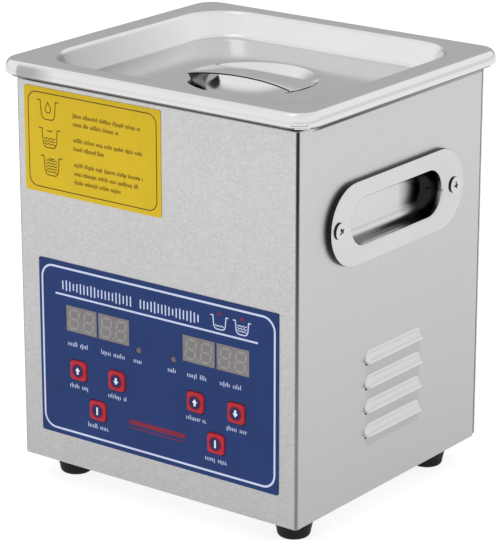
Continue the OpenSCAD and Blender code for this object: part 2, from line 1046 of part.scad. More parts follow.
module capacitors() {
  z = driver_z + board_t;
  color([0.15, 0.17, 0.32])
    for (x = [-44, -27])
      translate([x, 20, z])
        cylinder(h = 25, d = 15);
}

module relay() {
  color([0.1, 0.2, 0.5])
    translate([30, 4, driver_z + board_t])
      cube([20, 15.5, 15.5]);
}

// ---------- transducer ----------

sonic_z = tank_under - front_mass_h;
ring_z = sonic_z - 2 * piezo_t - 3 * tab_t;
back_z = ring_z - back_mass_h;

module sonic_front_mass() {
  color([0.8, 0.81, 0.83])
    translate([0, 0, sonic_z])
      difference() {
        union() {
          cylinder(h = 8, r = piezo_d / 2);
          translate([0, 0, 8 - eps])
            cylinder(h = front_mass_h - 8 + eps, r1 = piezo_d / 2, r2 = sonic_r);
        }
        translate([0, 0, -1])
          cylinder(h = 15, d = 10.1);
      }
}

module sonic_rings() {
  color([0.9, 0.88, 0.8])
    for (i = [0, 1])
      translate([0, 0, ring_z + tab_t + i * (piezo_t + tab_t)])
        difference() {
          cylinder(h = piezo_t, r = piezo_d / 2);
          translate([0, 0, -1])
            cylinder(h = piezo_t + 2, d = 15);
        }
}

// Three thin metal tabs that feed the ceramic rings.
module sonic_tabs() {
  color(copper)
    for (i = [0 : 2])
      translate([0, 0, ring_z + i * (piezo_t + tab_t)])
        difference() {
          union() {
            cylinder(h = tab_t, r = piezo_d / 2 - 0.5);
            rotate([0, 0, i == 1 ? 0 : 40])
              translate([0, -2.5, 0])
                cube([piezo_d / 2 + 7, 5, tab_t]);
          }
          translate([0, 0, -1])
            cylinder(h = 3, d = 15);
        }
}

module sonic_back_mass() {
  color([0.6, 0.6, 0.62])
    translate([0, 0, back_z])
      difference() {
        cylinder(h = back_mass_h, r = piezo_d / 2);
        translate([0, 0, -1])
          cylinder(h = back_mass_h + 2, d = 10.4);
      }
}

module sonic_bolt() {
  color([0.35, 0.35, 0.37])
    difference() {
      union() {
        translate([0, 0, back_z - eps])
          cylinder(h = sonic_z + 13 - back_z, d = 10);
        translate([0, 0, back_z - 8])
          cylinder(h = 8, d = 16);
      }
      translate([0, 0, back_z - 9])
        cylinder(h = 6, d = 8, $fn = 6);
    }
}

// ---------- fan ----------

module fan_frame() {
  color(plastic_black)
    translate([fan_x, back_in, fan_z])
      rotate([90, 0, 0]) {
        difference() {
          linear_extrude(fan_t)
            difference() {
              round_rect(fan_w, fan_w, 4);
              circle(fan_bore, $fn = 96);
              for (sx = [-1, 1], sy = [-1, 1])
                translate([sx * fan_hole, sy * fan_hole])
                  circle(d = 4.3);
            }
        }
        difference() {
          translate([0, 0, fan_t - 3])
            linear_extrude(3)
              difference() {
                union() {
                  circle(12);
                  for (a = [45 : 90 : 315])
                    rotate(a)
                      translate([10, -1.5])
                        square([fan_bore - 9.5, 3]);
                }
                circle(1.55);
              }
        }
      }
}

// Fan hub with seven tilted blades and the shaft that runs in the frame.
module fan_rotor() {
  color([0.13, 0.13, 0.14])
    translate([fan_x, back_in - 1, fan_z])
      rotate([90, 0, 0]) {
        cylinder(h = 10, r = 12.5);
        translate([0, 0, 10 - eps])
          cylinder(h = 3.5, r = 1.5);
        for (i = [0 : 6])
          rotate([0, 0, i * 360 / 7])
            translate([11.5, 0, 5])
              rotate([38, 0, 0])
                translate([0, -5.6, -0.6])
                  cube([15.3, 11.2, 1.2]);
      }
}

// Wire grille over the fan's hole: four rings with four radial wires laid over them.
module fan_guard() {
  d = 1.6;
  inner = 7;
  color(bright)
    translate([fan_x, wall_y + d / 2, fan_z])
      rotate([-90, 0, 0]) {
        for (i = [0 : 3])
          rotate_extrude()
            translate([inner + i * 6, 0])
              circle(d = d, $fn = 24);
        for (a = [45 : 90 : 315])
          rotate([0, 0, a])
            translate([inner - 0.5, 0, 0.9])
              rotate([0, 90, 0])
                cylinder(h = 25.2, d = d, $fn = 24);
        for (sx = [-1, 1], sy = [-1, 1])
          translate([sx * fan_hole, sy * fan_hole, -d / 2])
            difference() {
              cylinder(h = d, r = 4.6);
              translate([0, 0, -1])
                cylinder(h = 4, d = 4.3);
            }
      }
}

module fan_screws() {
  color(steel)
    for (sx = [-1, 1], sy = [-1, 1])
      translate([fan_x + sx * fan_hole, wall_y + 1.6, fan_z + sy * fan_hole])
        rotate([-90, 0, 0])
          pan_screw(7, 2.4, 4, 16);
}

// ---------- mains inlet ----------

// The inlet's socket outline: a rectangle with its two lower corners cut off.
module socket_outline(w, h, cut) {
  polygon([[-w / 2, h / 2], [w / 2, h / 2], [w / 2, -h / 2 + cut], [w / 2 - cut, -h / 2],
           [-w / 2 + cut, -h / 2], [-w / 2, -h / 2 + cut]]);
}

module inlet_body() {
  color(plastic_black)
    difference() {
      union() {
        translate([inlet_x, 0, inlet_z])
          on_back(wall_y)
            linear_extrude(2.5)
              round_rect(31, 37, 3);
        translate([inlet_x - 13.5, wall_y - 25, inlet_z - 15.5])
          cube([27, 25 + eps, 31]);
      }
      translate([inlet_x, 0, socket_z])
        on_back(wall_y - 14)
          linear_extrude(20)
            socket_outline(24.4, 16.6, 4.5);
      translate([inlet_x - 12.5, wall_y - 21, drawer_z - 4.3])
        cube([25, 26, 8.6]);
    }
}

module inlet_pins() {
  color([0.82, 0.78, 0.6])
    for (p = [[-7, 1], [0, -3], [7, 1]]) {
      translate([inlet_x + p[0] - 1, wall_y - 14, socket_z + p[1] - 2])
        cube([2, 13, 4]);
      translate([inlet_x + p[0] - 0.4, wall_y - 33, socket_z + p[1] - 2.4])
        cube([0.8, 8, 4.8]);
    }
}

// Drawer that holds the fuse under the socket.
module fuse_drawer() {
  color([0.12, 0.12, 0.13])
    difference() {
      union() {
        translate([inlet_x - 12.2, wall_y - 18.5, drawer_z - 4])
          cube([24.4, 20.5, 8]);
        translate([inlet_x - 8, wall_y + 2 - eps, drawer_z - 3])
          cube([16, 1.4, 2]);
      }
      translate([inlet_x - 10.6, wall_y - 17.5, drawer_z - 2.9])
        cube([21.2, 6, 8]);
    }
}

module fuse() {
  color([0.8, 0.86, 0.88])
    translate([inlet_x - 10, wall_y - 14.5, drawer_z - 0.3])
      rotate([0, 90, 0])
        cylinder(h = 20, d = 5);
}

// Leads from the inlet, transducer and heaters down to the terminal block.
module leads() {
  top = driver_z + board_t + block_h;
  row = 32;
  tab_y = wall_y - 31;
  color([0.15, 0.15, 0.16])
    drop_lead([inlet_x - 7, tab_y, socket_z - 1.4], [24, row, top], 39, 2);
  color([0.2, 0.5, 0.2])
    drop_lead([inlet_x, tab_y, socket_z - 5.4], [28, row, top], 39, 2);
  color([0.45, 0.28, 0.12])
    drop_lead([inlet_x + 7, tab_y, socket_z - 1.4], [32, row, top], 39, 2);
  color([0.75, 0.1, 0.08])
    drop_lead([24.5, 0, ring_z + piezo_t + tab_t], [20, row, top], 43, 2);
  color([0.9, 0.9, 0.9])
    drop_lead([24.5 * cos(40), 24.5 * sin(40), ring_z], [16, row, top], 47, 2);
  color([0.85, 0.83, 0.75]) {
    drop_lead([36, 30, tank_under - 1.5], [12, row, top], 56, 2);
    drop_lead([-36, 30, tank_under - 1.5], [8, row, top], 60, 2);
  }
}

// ---------- assembly ----------

case_wrap();
back_panel();
base_plate();
case_screws();
foot(-1, -1);  // foot_front_left
foot(1, -1);  // foot_front_right
foot(-1, 1);  // foot_back_left
foot(1, 1);  // foot_back_right
foot_screws();
tank();
rim_gasket();
heater_pads();
thermal_cutout();
temp_sensor();
lid();
lid_strap();
basket();
basket_bails();
handle(-1);  // handle_left
handle(1);  // handle_right
handle_screws();
handle_nuts();
care_label();
panel_overlay();
display(window_spots[0]);  // display_left_outer
display(window_spots[1]);  // display_left_inner
display(window_spots[2]);  // display_right_inner
display(window_spots[3]);  // display_right_outer
light(-light_x);  // light_left
light(light_x);  // light_right
key(key_spots[0]);  // key_left_up
key(key_spots[1]);  // key_left_down
key(key_spots[2]);  // key_right_up
key(key_spots[3]);  // key_right_down
key(key_spots[4]);  // key_heat
key(key_spots[5]);  // key_sound
key_switches();
control_board();
standoffs();
ribbon_cable();
driver_board();
transformer();
heat_sink();
capacitors();
relay();
sonic_front_mass();
sonic_rings();
sonic_tabs();
sonic_back_mass();
sonic_bolt();
fan_frame();
fan_rotor();
fan_guard();
fan_screws();
inlet_body();
inlet_pins();
fuse_drawer();
fuse();
leads();
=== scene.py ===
"""Looks of the bench-top ultrasonic cleaner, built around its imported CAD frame."""
import math

import bmesh
import bpy
from mathutils import Matrix, Vector


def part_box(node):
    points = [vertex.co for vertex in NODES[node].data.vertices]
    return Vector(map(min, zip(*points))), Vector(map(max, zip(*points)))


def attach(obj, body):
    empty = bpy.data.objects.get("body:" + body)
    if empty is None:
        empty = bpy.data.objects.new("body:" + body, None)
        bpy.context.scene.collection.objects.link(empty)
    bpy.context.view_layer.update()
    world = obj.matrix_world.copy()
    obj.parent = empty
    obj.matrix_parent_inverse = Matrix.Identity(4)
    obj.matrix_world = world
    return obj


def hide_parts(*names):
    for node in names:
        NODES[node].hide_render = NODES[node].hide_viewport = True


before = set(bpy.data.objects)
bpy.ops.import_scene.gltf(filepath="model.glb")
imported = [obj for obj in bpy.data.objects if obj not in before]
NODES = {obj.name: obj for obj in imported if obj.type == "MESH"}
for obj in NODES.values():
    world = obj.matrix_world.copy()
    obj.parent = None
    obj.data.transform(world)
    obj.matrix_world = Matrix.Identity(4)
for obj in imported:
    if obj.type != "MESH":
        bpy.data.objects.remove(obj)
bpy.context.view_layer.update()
MM = 0.001
scene = bpy.context.scene


def mm_box(node):
    """A CAD node's lowest and highest corners, in millimetres."""
    lo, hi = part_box(node)
    return lo / MM, hi / MM


# ------------------------------------------------------------------ frame sizes
wrap_lo, wrap_hi = mm_box("case_wrap")
lid_lo, lid_hi = mm_box("lid")
tank_lo, tank_hi = mm_box("tank")
plate_lo, plate_hi = mm_box("handle_right")
panel_lo, panel_hi = mm_box("panel_overlay")
label_lo, label_hi = mm_box("care_label")
back_lo, back_hi = mm_box("back_panel")
SHEET = 0.8
FRONT = wrap_lo.y
CASE_LOW, CASE_TOP = wrap_lo.z, wrap_hi.z
WALL_X = plate_hi.x - 2.5
CASE_W = 2 * WALL_X
WRAP_BACK = wrap_hi.y
MID_Y = (FRONT + WRAP_BACK) / 2
PANEL_X = (panel_lo.x + panel_hi.x) / 2
PANEL_Z = (panel_lo.z + panel_hi.z) / 2
LABEL_X = (label_lo.x + label_hi.x) / 2
LABEL_Z = (label_lo.z + label_hi.z) / 2
GRIP_Z = (plate_lo.z + plate_hi.z) / 2
KEYS = ["key_left_up", "key_left_down", "key_right_up", "key_right_down", "key_heat", "key_sound"]
WINDOWS = ["display_left_outer", "display_left_inner", "display_right_inner", "display_right_outer"]
LIGHTS = ["light_left", "light_right"]
KEY_W = (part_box(KEYS[0])[1].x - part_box(KEYS[0])[0].x) / MM
FEET = ["foot_front_left", "foot_front_right", "foot_back_left", "foot_back_right"]
BEND_R = 2.0
LID_EDGE_LOW = lid_hi.z - 6.2
LOUVRE_Y, LOUVRE_ZS = 1.4, [41.0, 53.0, 65.0, 77.0]
LOUVRE_W, LOUVRE_H, LOUVRE_OUT = 46.0, 5.7, 2.2
FAN_PITCH = 25
BACK_SCREW_X = WALL_X - 5
BACK_SCREW_Z = [CASE_LOW + 18, CASE_LOW + 93, CASE_LOW + 168]


def centre(node):
    lo, hi = mm_box(node)
    return (lo + hi) / 2


# ------------------------------------------------------------------ node materials
def new_material(name):
    m = bpy.data.materials.new(name)
    m.use_nodes = True
    m.node_tree.nodes.clear()
    out = m.node_tree.nodes.new("ShaderNodeOutputMaterial")
    bsdf = m.node_tree.nodes.new("ShaderNodeBsdfPrincipled")
    m.node_tree.links.new(bsdf.outputs[0], out.inputs[0])
    return m, m.node_tree, bsdf


def set_inputs(node, values):
    for key, value in values.items():
        node.inputs[key].default_value = value


def stretched_noise(nt, scale, size, detail=3.0, rough=0.6):
    """Noise with cells of size millimetres, longer along the axes where scale is under 1."""
    tc = nt.nodes.new("ShaderNodeTexCoord")
    mp = nt.nodes.new("ShaderNodeMapping")
    mp.inputs["Scale"].default_value = [s / size / MM for s in scale]
    no = nt.nodes.new("ShaderNodeTexNoise")
    set_inputs(no, {"Scale": 1.0, "Detail": detail, "Roughness": rough})
    nt.links.new(tc.outputs["Object"], mp.inputs["Vector"])
    nt.links.new(mp.outputs[0], no.inputs["Vector"])
    return no.outputs["Fac"]


def spread(nt, value, low, high, from_low=0.3, from_high=0.7):
    r = nt.nodes.new("ShaderNodeMapRange")
    set_inputs(r, {"From Min": from_low, "From Max": from_high, "To Min": low, "To Max": high})
    nt.links.new(value, r.inputs["Value"])
    return r.outputs[0]


def blend_value(nt, op, a, b):
    n = nt.nodes.new("ShaderNodeMath")
    n.operation = op
    for i, v in enumerate((a, b)):
        if isinstance(v, (int, float)):
            n.inputs[i].default_value = v
        else:
            nt.links.new(v, n.inputs[i])
    return n.outputs[0]


def grey_mix(nt, fac, dark, light):
    """A colour between dark and light by fac."""
    n = nt.nodes.new("ShaderNodeMix")
    n.data_type = "RGBA"
    n.inputs[6].default_value = (*dark, 1)
    n.inputs[7].default_value = (*light, 1)
    nt.links.new(fac, n.inputs[0])
    return n.outputs[2]


def bump(nt, bsdf, height, distance_mm):
    b = nt.nodes.new("ShaderNodeBump")
    set_inputs(b, {"Strength": 1.0, "Distance": distance_mm * MM})
    nt.links.new(height, b.inputs["Height"])
    nt.links.new(b.outputs[0], bsdf.inputs["Normal"])


def times(nt, *values):
    """The product of values, each a socket or a number."""
    product = values[0]
    for v in values[1:]:
        product = blend_value(nt, "MULTIPLY", product, v)
    return product


def darkened(nt, tone, *masks):
    """The tone with each mask taken out of it. A mask is 1 where nothing of the tone stays."""
    for mask in masks:
        tone = times(nt, tone, blend_value(nt, "SUBTRACT", 1.0, mask))
    return tone


def lines_and_patches(nt, lines, patches):
    return blend_value(nt, "ADD", times(nt, lines, 0.65), times(nt, patches, 0.35))


def metal(name, colour, rough, streak=(1, 1, 1), line_mm=0.5, vary=0.05, rough_vary=0.05,
          bump_mm=0.004, blotch_mm=30):
    """Metal with brush lines along the axes where streak is small, and faint wiped patches."""
    m, nt, bsdf = new_material(name)
    lines = stretched_noise(nt, streak, line_mm, 4.0, 0.7)
    both = lines_and_patches(nt, lines, stretched_noise(nt, (1, 1, 1), blotch_mm, 2.0, 0.5))
    dark = [c * (1 - vary) for c in colour]
    light = [min(1.0, c * (1 + vary)) for c in colour]
    nt.links.new(grey_mix(nt, spread(nt, both, 0, 1), dark, light), bsdf.inputs["Base Color"])
    nt.links.new(spread(nt, both, rough - rough_vary, rough + rough_vary), bsdf.inputs["Roughness"])
    bsdf.inputs["Metallic"].default_value = 1.0
    bump(nt, bsdf, lines, bump_mm)
    return m


def plastic(name, colour, rough, grain_mm=0.4, vary=0.06, bump_mm=0.01, coat=0.0, specular=0.5):
    """Moulded plastic, film or rubber with a fine grain and faint tone changes."""
    m, nt, bsdf = new_material(name)
    grain = stretched_noise(nt, (1, 1, 1), grain_mm, 3.0, 0.6)
    tone = stretched_noise(nt, (1, 1, 1), 14, 3.0, 0.5)
    dark = [c * (1 - vary) for c in colour]
    light = [min(1.0, c * (1 + vary)) for c in colour]
    nt.links.new(grey_mix(nt, spread(nt, tone, 0, 1), dark, light), bsdf.inputs["Base Color"])
    nt.links.new(spread(nt, grain, max(0.02, rough - 0.05), rough + 0.05), bsdf.inputs["Roughness"])
    set_inputs(bsdf, {"Specular IOR Level": specular, "Coat Weight": coat})
    bump(nt, bsdf, grain, bump_mm)
    return m


def frame_axes(nt):
    """The piece's own X, Y and Z, in metres."""
    tc = nt.nodes.new("ShaderNodeTexCoord")
    sep = nt.nodes.new("ShaderNodeSeparateXYZ")
    nt.links.new(tc.outputs["Object"], sep.inputs[0])
    return sep.outputs[0], sep.outputs[1], sep.outputs[2]


def absolute(nt, v):
    return blend_value(nt, "ABSOLUTE", v, 0.0)


def grey_metal(nt, bsdf, tone, uneven, rough):
    """A neutral metal whose base is tone, with a roughness that follows uneven."""
    c = nt.nodes.new("ShaderNodeCombineColor")
    for i in range(3):
        nt.links.new(tone, c.inputs[i])
    nt.links.new(c.outputs[0], bsdf.inputs["Base Color"])
    nt.links.new(spread(nt, uneven, rough - 0.03, rough + 0.03), bsdf.inputs["Roughness"])
    bsdf.inputs["Metallic"].default_value = 1.0


def case_metal(name, low, high, rough, louvre_shade_share=0.0):
    """Brushed sheet: grain, with painted shade darkening the tone toward the bottom, a painted dark
    reflection on the front bends, a painted shadow line on the side walls under the lid's edge and painted
    shade, by the share its last argument gives, between the louvres."""
    m, nt, bsdf = new_material(name)
    x, y, z = frame_axes(nt)
    front = spread(nt, y, 1, 0, (FRONT + 0.3) * MM, (FRONT + 0.8) * MM)
    side = spread(nt, absolute(nt, x), 0, 1, (WALL_X - 0.5) * MM, (WALL_X - 0.2) * MM)
    grain = stretched_noise(nt, (0.5, 0.7, 1.1), 0.75, 2.0, 0.7)
    lines = stretched_noise(nt, (1, 1, 0.05), 0.45, 4.0, 0.7)
    patches = stretched_noise(nt, (1, 1, 0.6), 34, 3.0, 0.5)
    speck = times(nt, blend_value(nt, "SUBTRACT", grain, 0.5), spread(nt, front, 0.3, 0.52, 0, 1))
    # Painted shade: the tone falls from high at the top to low at the bottom.
    tone = times(nt, spread(nt, z, low, high, 0.012, 0.165), blend_value(nt, "ADD", speck, 1.0),
                 spread(nt, lines, 0.975, 1.025), spread(nt, patches, 0.985, 1.015))
    # Painted dark reflection along the front vertical bends, strongest toward the top.
    off_middle = absolute(nt, blend_value(nt, "SUBTRACT", y, MID_Y * MM))
    corner = blend_value(nt, "ADD", absolute(nt, x), off_middle)
    bend_at = (WALL_X + (WRAP_BACK - FRONT) / 2 - BEND_R * (2 - math.sqrt(2))) * MM
    painted_bend_reflection = times(nt, spread(nt, corner, 0, 1, bend_at - 0.00042, bend_at - 0.00010),
                 spread(nt, y, 1, 0, -0.02, 0.0), spread(nt, z, 0.55, 0.93, 0.05, 0.17))
    # Painted shadow: a dark line on the side walls just under the lid's edge, stronger toward the front.
    lid_shade = LID_EDGE_LOW - (lid_hi.x - WALL_X) * 0.54
    gap = times(nt, side, spread(nt, z, 0, 1, (lid_shade - 0.9) * MM, (lid_shade - 0.5) * MM),
                spread(nt, y, 0, 1, (FRONT + 10) * MM, (FRONT + 16) * MM),
                spread(nt, y, 0.85, 0.35, -0.04, 0.06))
    # Painted shade on the wall between and below the louvre hoods.
    along = absolute(nt, blend_value(nt, "SUBTRACT", y, LOUVRE_Y * MM))
    vent_low, vent_high = LOUVRE_ZS[0] - 5.4, LOUVRE_ZS[-1]
    painted_louvre_shade = times(nt, side, spread(nt, along, louvre_shade_share, 0, (LOUVRE_W / 2 - 2) * MM, LOUVRE_W / 2 * MM),
                 spread(nt, z, 0, 1, vent_low * MM, (vent_low + 0.6) * MM),
                 spread(nt, z, 1, 0, vent_high * MM, (vent_high + 0.6) * MM))
    grey_metal(nt, bsdf, darkened(nt, tone, painted_bend_reflection, gap, painted_louvre_shade), patches, rough)
    bump(nt, bsdf, grain, 0.004)
    return m


def lid_metal(name, base, rough):
    """Satin pressing with painted shade on its recess wall, darkest toward its front-left corner."""
    m, nt, bsdf = new_material(name)
    x, y, z = frame_axes(nt)
    lines = stretched_noise(nt, (0.08, 1, 1), 0.7, 4.0, 0.7)
    both = lines_and_patches(nt, lines, stretched_noise(nt, (1, 1, 1), 18, 2.0, 0.5))
    # Painted shade on the recess wall's left side, stronger toward the front.
    recess = times(nt, spread(nt, y, 0.45, 0.02, -0.055, 0.045),
                   spread(nt, z, 1, 0, (lid_hi.z - 1.8) * MM, (lid_hi.z - 0.6) * MM),
                   spread(nt, x, 1, 0, -0.066, -0.052),
                   spread(nt, absolute(nt, x), 1, 0, 0.0745, 0.076))
    tone = darkened(nt, spread(nt, both, base * 0.975, base * 1.025), recess)
    grey_metal(nt, bsdf, tone, both, rough)
    bump(nt, bsdf, lines, 0.001)
    return m


def cup_metal(name, base, rough):
    """Satin pressing with painted shade at its deep rear end and along its lower fillet."""
    m, nt, bsdf = new_material(name)
    x, y, z = frame_axes(nt)
    grain = stretched_noise(nt, (1, 1, 1), 0.9, 2.0, 0.7)
    patches = stretched_noise(nt, (1, 0.3, 1), 16, 3.0, 0.5)
    # Painted shade inside the cup: toward its rear end and below its lower fillet.
    inside = spread(nt, absolute(nt, x), 1, 0, (plate_hi.x - 3.2) * MM, (plate_hi.x - 1.2) * MM)
    ends = spread(nt, y, 0, 0.97, 0.014, 0.028)
    fillet = spread(nt, z, 0.5, 0, (GRIP_Z - 9.6) * MM, (GRIP_Z - 8.6) * MM)
    dark = times(nt, inside, blend_value(nt, "MAXIMUM", ends, fillet))
    tone = times(nt, spread(nt, grain, base * 0.965, base * 1.035), spread(nt, patches, 0.97, 1.03))
    grey_metal(nt, bsdf, darkened(nt, tone, dark), patches, rough)
    return m


STEEL_CASE = case_metal("case_brushed_painted_shade", 0.455, 0.555, 0.36, 0.11)
# The louvre hoods: the case sheet's look with a brighter tone, as painted light.
STEEL_HOOD_PAINTED_LIGHT = case_metal("louvre_brushed_painted_light", 0.60, 0.68, 0.28)
STEEL_LID = lid_metal("lid_satin_painted_shade", 0.70, 0.12)
STEEL_BRIGHT = cup_metal("handle_satin_painted_shade", 0.60, 0.2)
STEEL_SHADE = metal("rim_hem", (0.20, 0.20, 0.20), 0.35, (1, 1, 1), 0.6, 0.06, 0.05, 0.002, 10)
# Near-black painted shade for the grip plates' rims, the strap's edges and part of its underside, and the
# screw heads' rims and recesses.
PAINTED_SHADE_EDGE = metal("painted_shade_edge", (0.030, 0.030, 0.030), 0.42, (1, 1, 1), 0.5, 0.1, 0.05, 0.002, 6)
STEEL_SCREW = metal("plated_screw", (0.62, 0.62, 0.62), 0.22, (1, 1, 1), 0.6, 0.06, 0.08, 0.003, 4)
STEEL_WIRE = metal("plated_wire", (0.75, 0.75, 0.76), 0.14, (1, 1, 1), 1.0, 0.04, 0.05, 0.002, 10)
STEEL_TURNED = metal("turned_steel", (0.42, 0.42, 0.43), 0.3, (0.05, 0.05, 1), 0.4, 0.08, 0.06, 0.006, 12)
ALUMINIUM = metal("turned_aluminium", (0.78, 0.79, 0.8), 0.28, (0.05, 0.05, 1), 0.4, 0.05, 0.06, 0.006, 12)
BRASS = metal("brass", (0.72, 0.52, 0.22), 0.25, (1, 1, 1), 0.8, 0.08, 0.07, 0.004, 8)
RUBBER = plastic("foot_rubber", (0.007, 0.007, 0.007), 0.6, 0.35, 0.15, 0.02, specular=0.15)
BLACK = plastic("black_moulded", (0.02, 0.02, 0.022), 0.42, 0.3, 0.1, 0.02)
LABEL = plastic("label_film", (0.62, 0.43, 0.017), 0.4, 0.5, 0.03, 0.003, specular=0.12)
LABEL_INK = plastic("label_ink", (0.085, 0.05, 0.012), 0.45, 0.3, 0.1, 0.002, specular=0.1)
OVERLAY = plastic("overlay_film", (0.0145, 0.037, 0.142), 0.42, 0.25, 0.06, 0.004, specular=0.12)
OVERLAY_INK = plastic("overlay_ink", (0.56, 0.61, 0.80), 0.45, 0.3, 0.04, 0.002, specular=0.1)
RED_INK = plastic("red_ink", (0.20, 0.022, 0.045), 0.45, 0.3, 0.08, 0.002, specular=0.1)
KEY_RED = plastic("key_red", (0.42, 0.014, 0.026), 0.38, 0.2, 0.08, 0.005, specular=0.2)
KEY_DISC = plastic("key_disc_ink", (0.022, 0.022, 0.10), 0.45, 0.3, 0.08, 0.002, specular=0.1)
KEY_RING = plastic("key_ring_ink", (0.15, 0.012, 0.035), 0.45, 0.3, 0.08, 0.002, specular=0.1)
WHITE_INK = plastic("white_ink", (0.74, 0.77, 0.85), 0.45, 0.3, 0.03, 0.002, specular=0.1)
RESIN = plastic("display_resin", (0.195, 0.183, 0.182), 0.4, 0.6, 0.08, 0.003, specular=0.2)
SEGMENT = plastic("display_segment", (0.265, 0.255, 0.26), 0.4, 0.4, 0.04, 0.002, specular=0.2)
LENS = plastic("light_lens", (0.13, 0.10, 0.12), 0.3, 0.4, 0.1, 0.003, specular=0.3)
BOARD = plastic("board_mask", (0.015, 0.12, 0.05), 0.35, 0.6, 0.12, 0.01, coat=0.3)
SILICONE = plastic("heater_silicone", (0.36, 0.08, 0.03), 0.6, 0.5, 0.1, 0.03)
CERAMIC = plastic("fired_ceramic", (0.74, 0.70, 0.60), 0.45, 0.4, 0.05, 0.01)
COIL = plastic("coil_varnish", (0.03, 0.03, 0.035), 0.4, 0.4, 0.15, 0.03, coat=0.2)
CABLE = plastic("cable_vinyl", (0.34, 0.34, 0.36), 0.45, 0.4, 0.08, 0.01)
GLASS = plastic("fuse_tube", (0.55, 0.60, 0.62), 0.1, 0.6, 0.03, 0.001, coat=0.6)


# ------------------------------------------------------------------ mesh helpers
def weigh_normals(o):
    o.modifiers.new("weighted", "WEIGHTED_NORMAL").keep_sharp = True


def link_mesh(name, bm, scale=1.0):
    """A plain object from a bmesh, which is used up."""
    mesh = bpy.data.meshes.new(name)
    bm.to_mesh(mesh)
    bm.free()
    mesh.transform(Matrix.Scale(scale, 4))
    o = bpy.data.objects.new(name, mesh)
    scene.collection.objects.link(o)
    return o


def smooth(o, angle):
    o.data.shade_smooth()
    o.data.set_sharp_from_angle(angle=math.radians(angle))


def finish_mesh(name, bm, material, angle=35, weighted=True, recalc=True):
    """Turns a bmesh in millimetres into a smooth-shaded object in metres."""
    bmesh.ops.remove_doubles(bm, verts=bm.verts, dist=1e-4)
    if recalc:
        bmesh.ops.recalc_face_normals(bm, faces=bm.faces)
    o = link_mesh(name, bm, MM)
    for one in material if isinstance(material, list) else [material]:
        o.data.materials.append(one)
    smooth(o, angle)
    if weighted:
        weigh_normals(o)
    return o


def from_lists(verts, faces):
    bm = bmesh.new()
    vs = [bm.verts.new(v) for v in verts]
    for f in faces:
        if len(set(f)) > 2:
            bm.faces.new([vs[i] for i in f])
    return bm


def loft(rings, wrap=False, cap_start=False, cap_end=False):
    """Quads between rings of equal count. wrap joins the last ring to the first."""
    n, count = len(rings[0]), len(rings)
    faces = []
    for i in range(count if wrap else count - 1):
        a, b = i * n, ((i + 1) % count) * n
        for j in range(n):
            k = (j + 1) % n
            faces.append((a + j, a + k, b + k, b + j))
    if cap_start:
        faces.append(tuple(reversed(range(n))))
    if cap_end:
        faces.append(tuple(range((count - 1) * n, count * n)))
    return from_lists([p for r in rings for p in r], faces)


def two_layers(outer, inner, rows):
    """A closed shell between two grids of points, each in columns of as many points as rows says."""
    off = len(outer)
    last = off - rows
    faces = []
    for a in range(0, last, rows):
        for k in range(a, a + rows - 1):
            faces.append((k, k + rows, k + rows + 1, k + 1))
            faces.append((off + k, off + k + 1, off + k + rows + 1, off + k + rows))
        end = a + rows - 1
        faces.append((a, off + a, off + a + rows, a + rows))
        faces.append((end, end + rows, off + end + rows, off + end))
    for j in range(rows - 1):
        k = last + j
        faces.append((j, j + 1, off + j + 1, off + j))
        faces.append((k, off + k, off + k + 1, k + 1))
    return from_lists(outer + inner, faces)


def round_ring(w, d, r, n=8, m=6):
    """Points counter-clockwise round a rectangle with round corners."""
    r = max(r, 0.01)
    cx, cy = w / 2 - r, d / 2 - r
    pts = []
    corners = [(cx, -cy, -90), (cx, cy, 0), (-cx, cy, 90), (-cx, -cy, 180)]
    for i, (x, y, a0) in enumerate(corners):
        for k in range(n + 1):
            a = math.radians(a0 + 90 * k / n)
            pts.append((x + r * math.cos(a), y + r * math.sin(a)))
        x2, y2, a2 = corners[(i + 1) % 4]
        end = (x2 + r * math.cos(math.radians(a2)), y2 + r * math.sin(math.radians(a2)))
        start = pts[-1]
        for k in range(1, m):
            t = k / m
            pts.append((start[0] + (end[0] - start[0]) * t, start[1] + (end[1] - start[1]) * t))
    return pts


def slot_ring(w, h, n=20, m=12):
    """Points counter-clockwise round a slot with round ends."""
    r, c = h / 2, (w - h) / 2
    pts = []
    for s in (1, -1):
        for k in range(n + 1):
            a = math.radians(-90 + 180 * k / n)
            pts.append((s * (c + r * math.cos(a)), s * r * math.sin(a)))
        for k in range(1, m):
            pts.append((s * (c - 2 * c * k / m), s * r))
    return pts


def lift(ring, z):
    return [(x, y, z) for x, y in ring]


def lift_all(spec, n, m):
    """The rings of a list of (width, depth, corner radius, height)."""
    return [lift(round_ring(w, d, r, n, m), z) for w, d, r, z in spec]


def arc(a0, a1, n):
    return [math.radians(a0 + (a1 - a0) * k / n) for k in range(n + 1)]


def lathe(profile, n=48, wrap=False):
    """Turns (radius, height) points about Z, as a ring when wrap is set and else with closed ends."""
    turned = [[(r * math.cos(2 * math.pi * k / n), r * math.sin(2 * math.pi * k / n), z) for k in range(n)]
              for r, z in profile]
    return loft(turned, wrap=wrap, cap_start=not wrap, cap_end=not wrap)


def place(bm, matrix):
    bmesh.ops.transform(bm, matrix=matrix, verts=bm.verts)
    return bm


def join(*parts):
    """One bmesh holding all of parts."""
    bm = bmesh.new()
    for p in parts:
        mesh = bpy.data.meshes.new("part")
        p.to_mesh(mesh)
        p.free()
        bm.from_mesh(mesh)
        bpy.data.meshes.remove(mesh)
    return bm


def copy_at(bm, matrices):
    """Copies of bm, one at each matrix, as one bmesh. bm itself is used up."""
    mesh = bpy.data.meshes.new("copy")
    bm.to_mesh(mesh)
    bm.free()
    out = bmesh.new()
    for mat in matrices:
        m = mesh.copy()
        m.transform(mat)
        out.from_mesh(m)
        bpy.data.meshes.remove(m)
    bpy.data.meshes.remove(mesh)
    return out


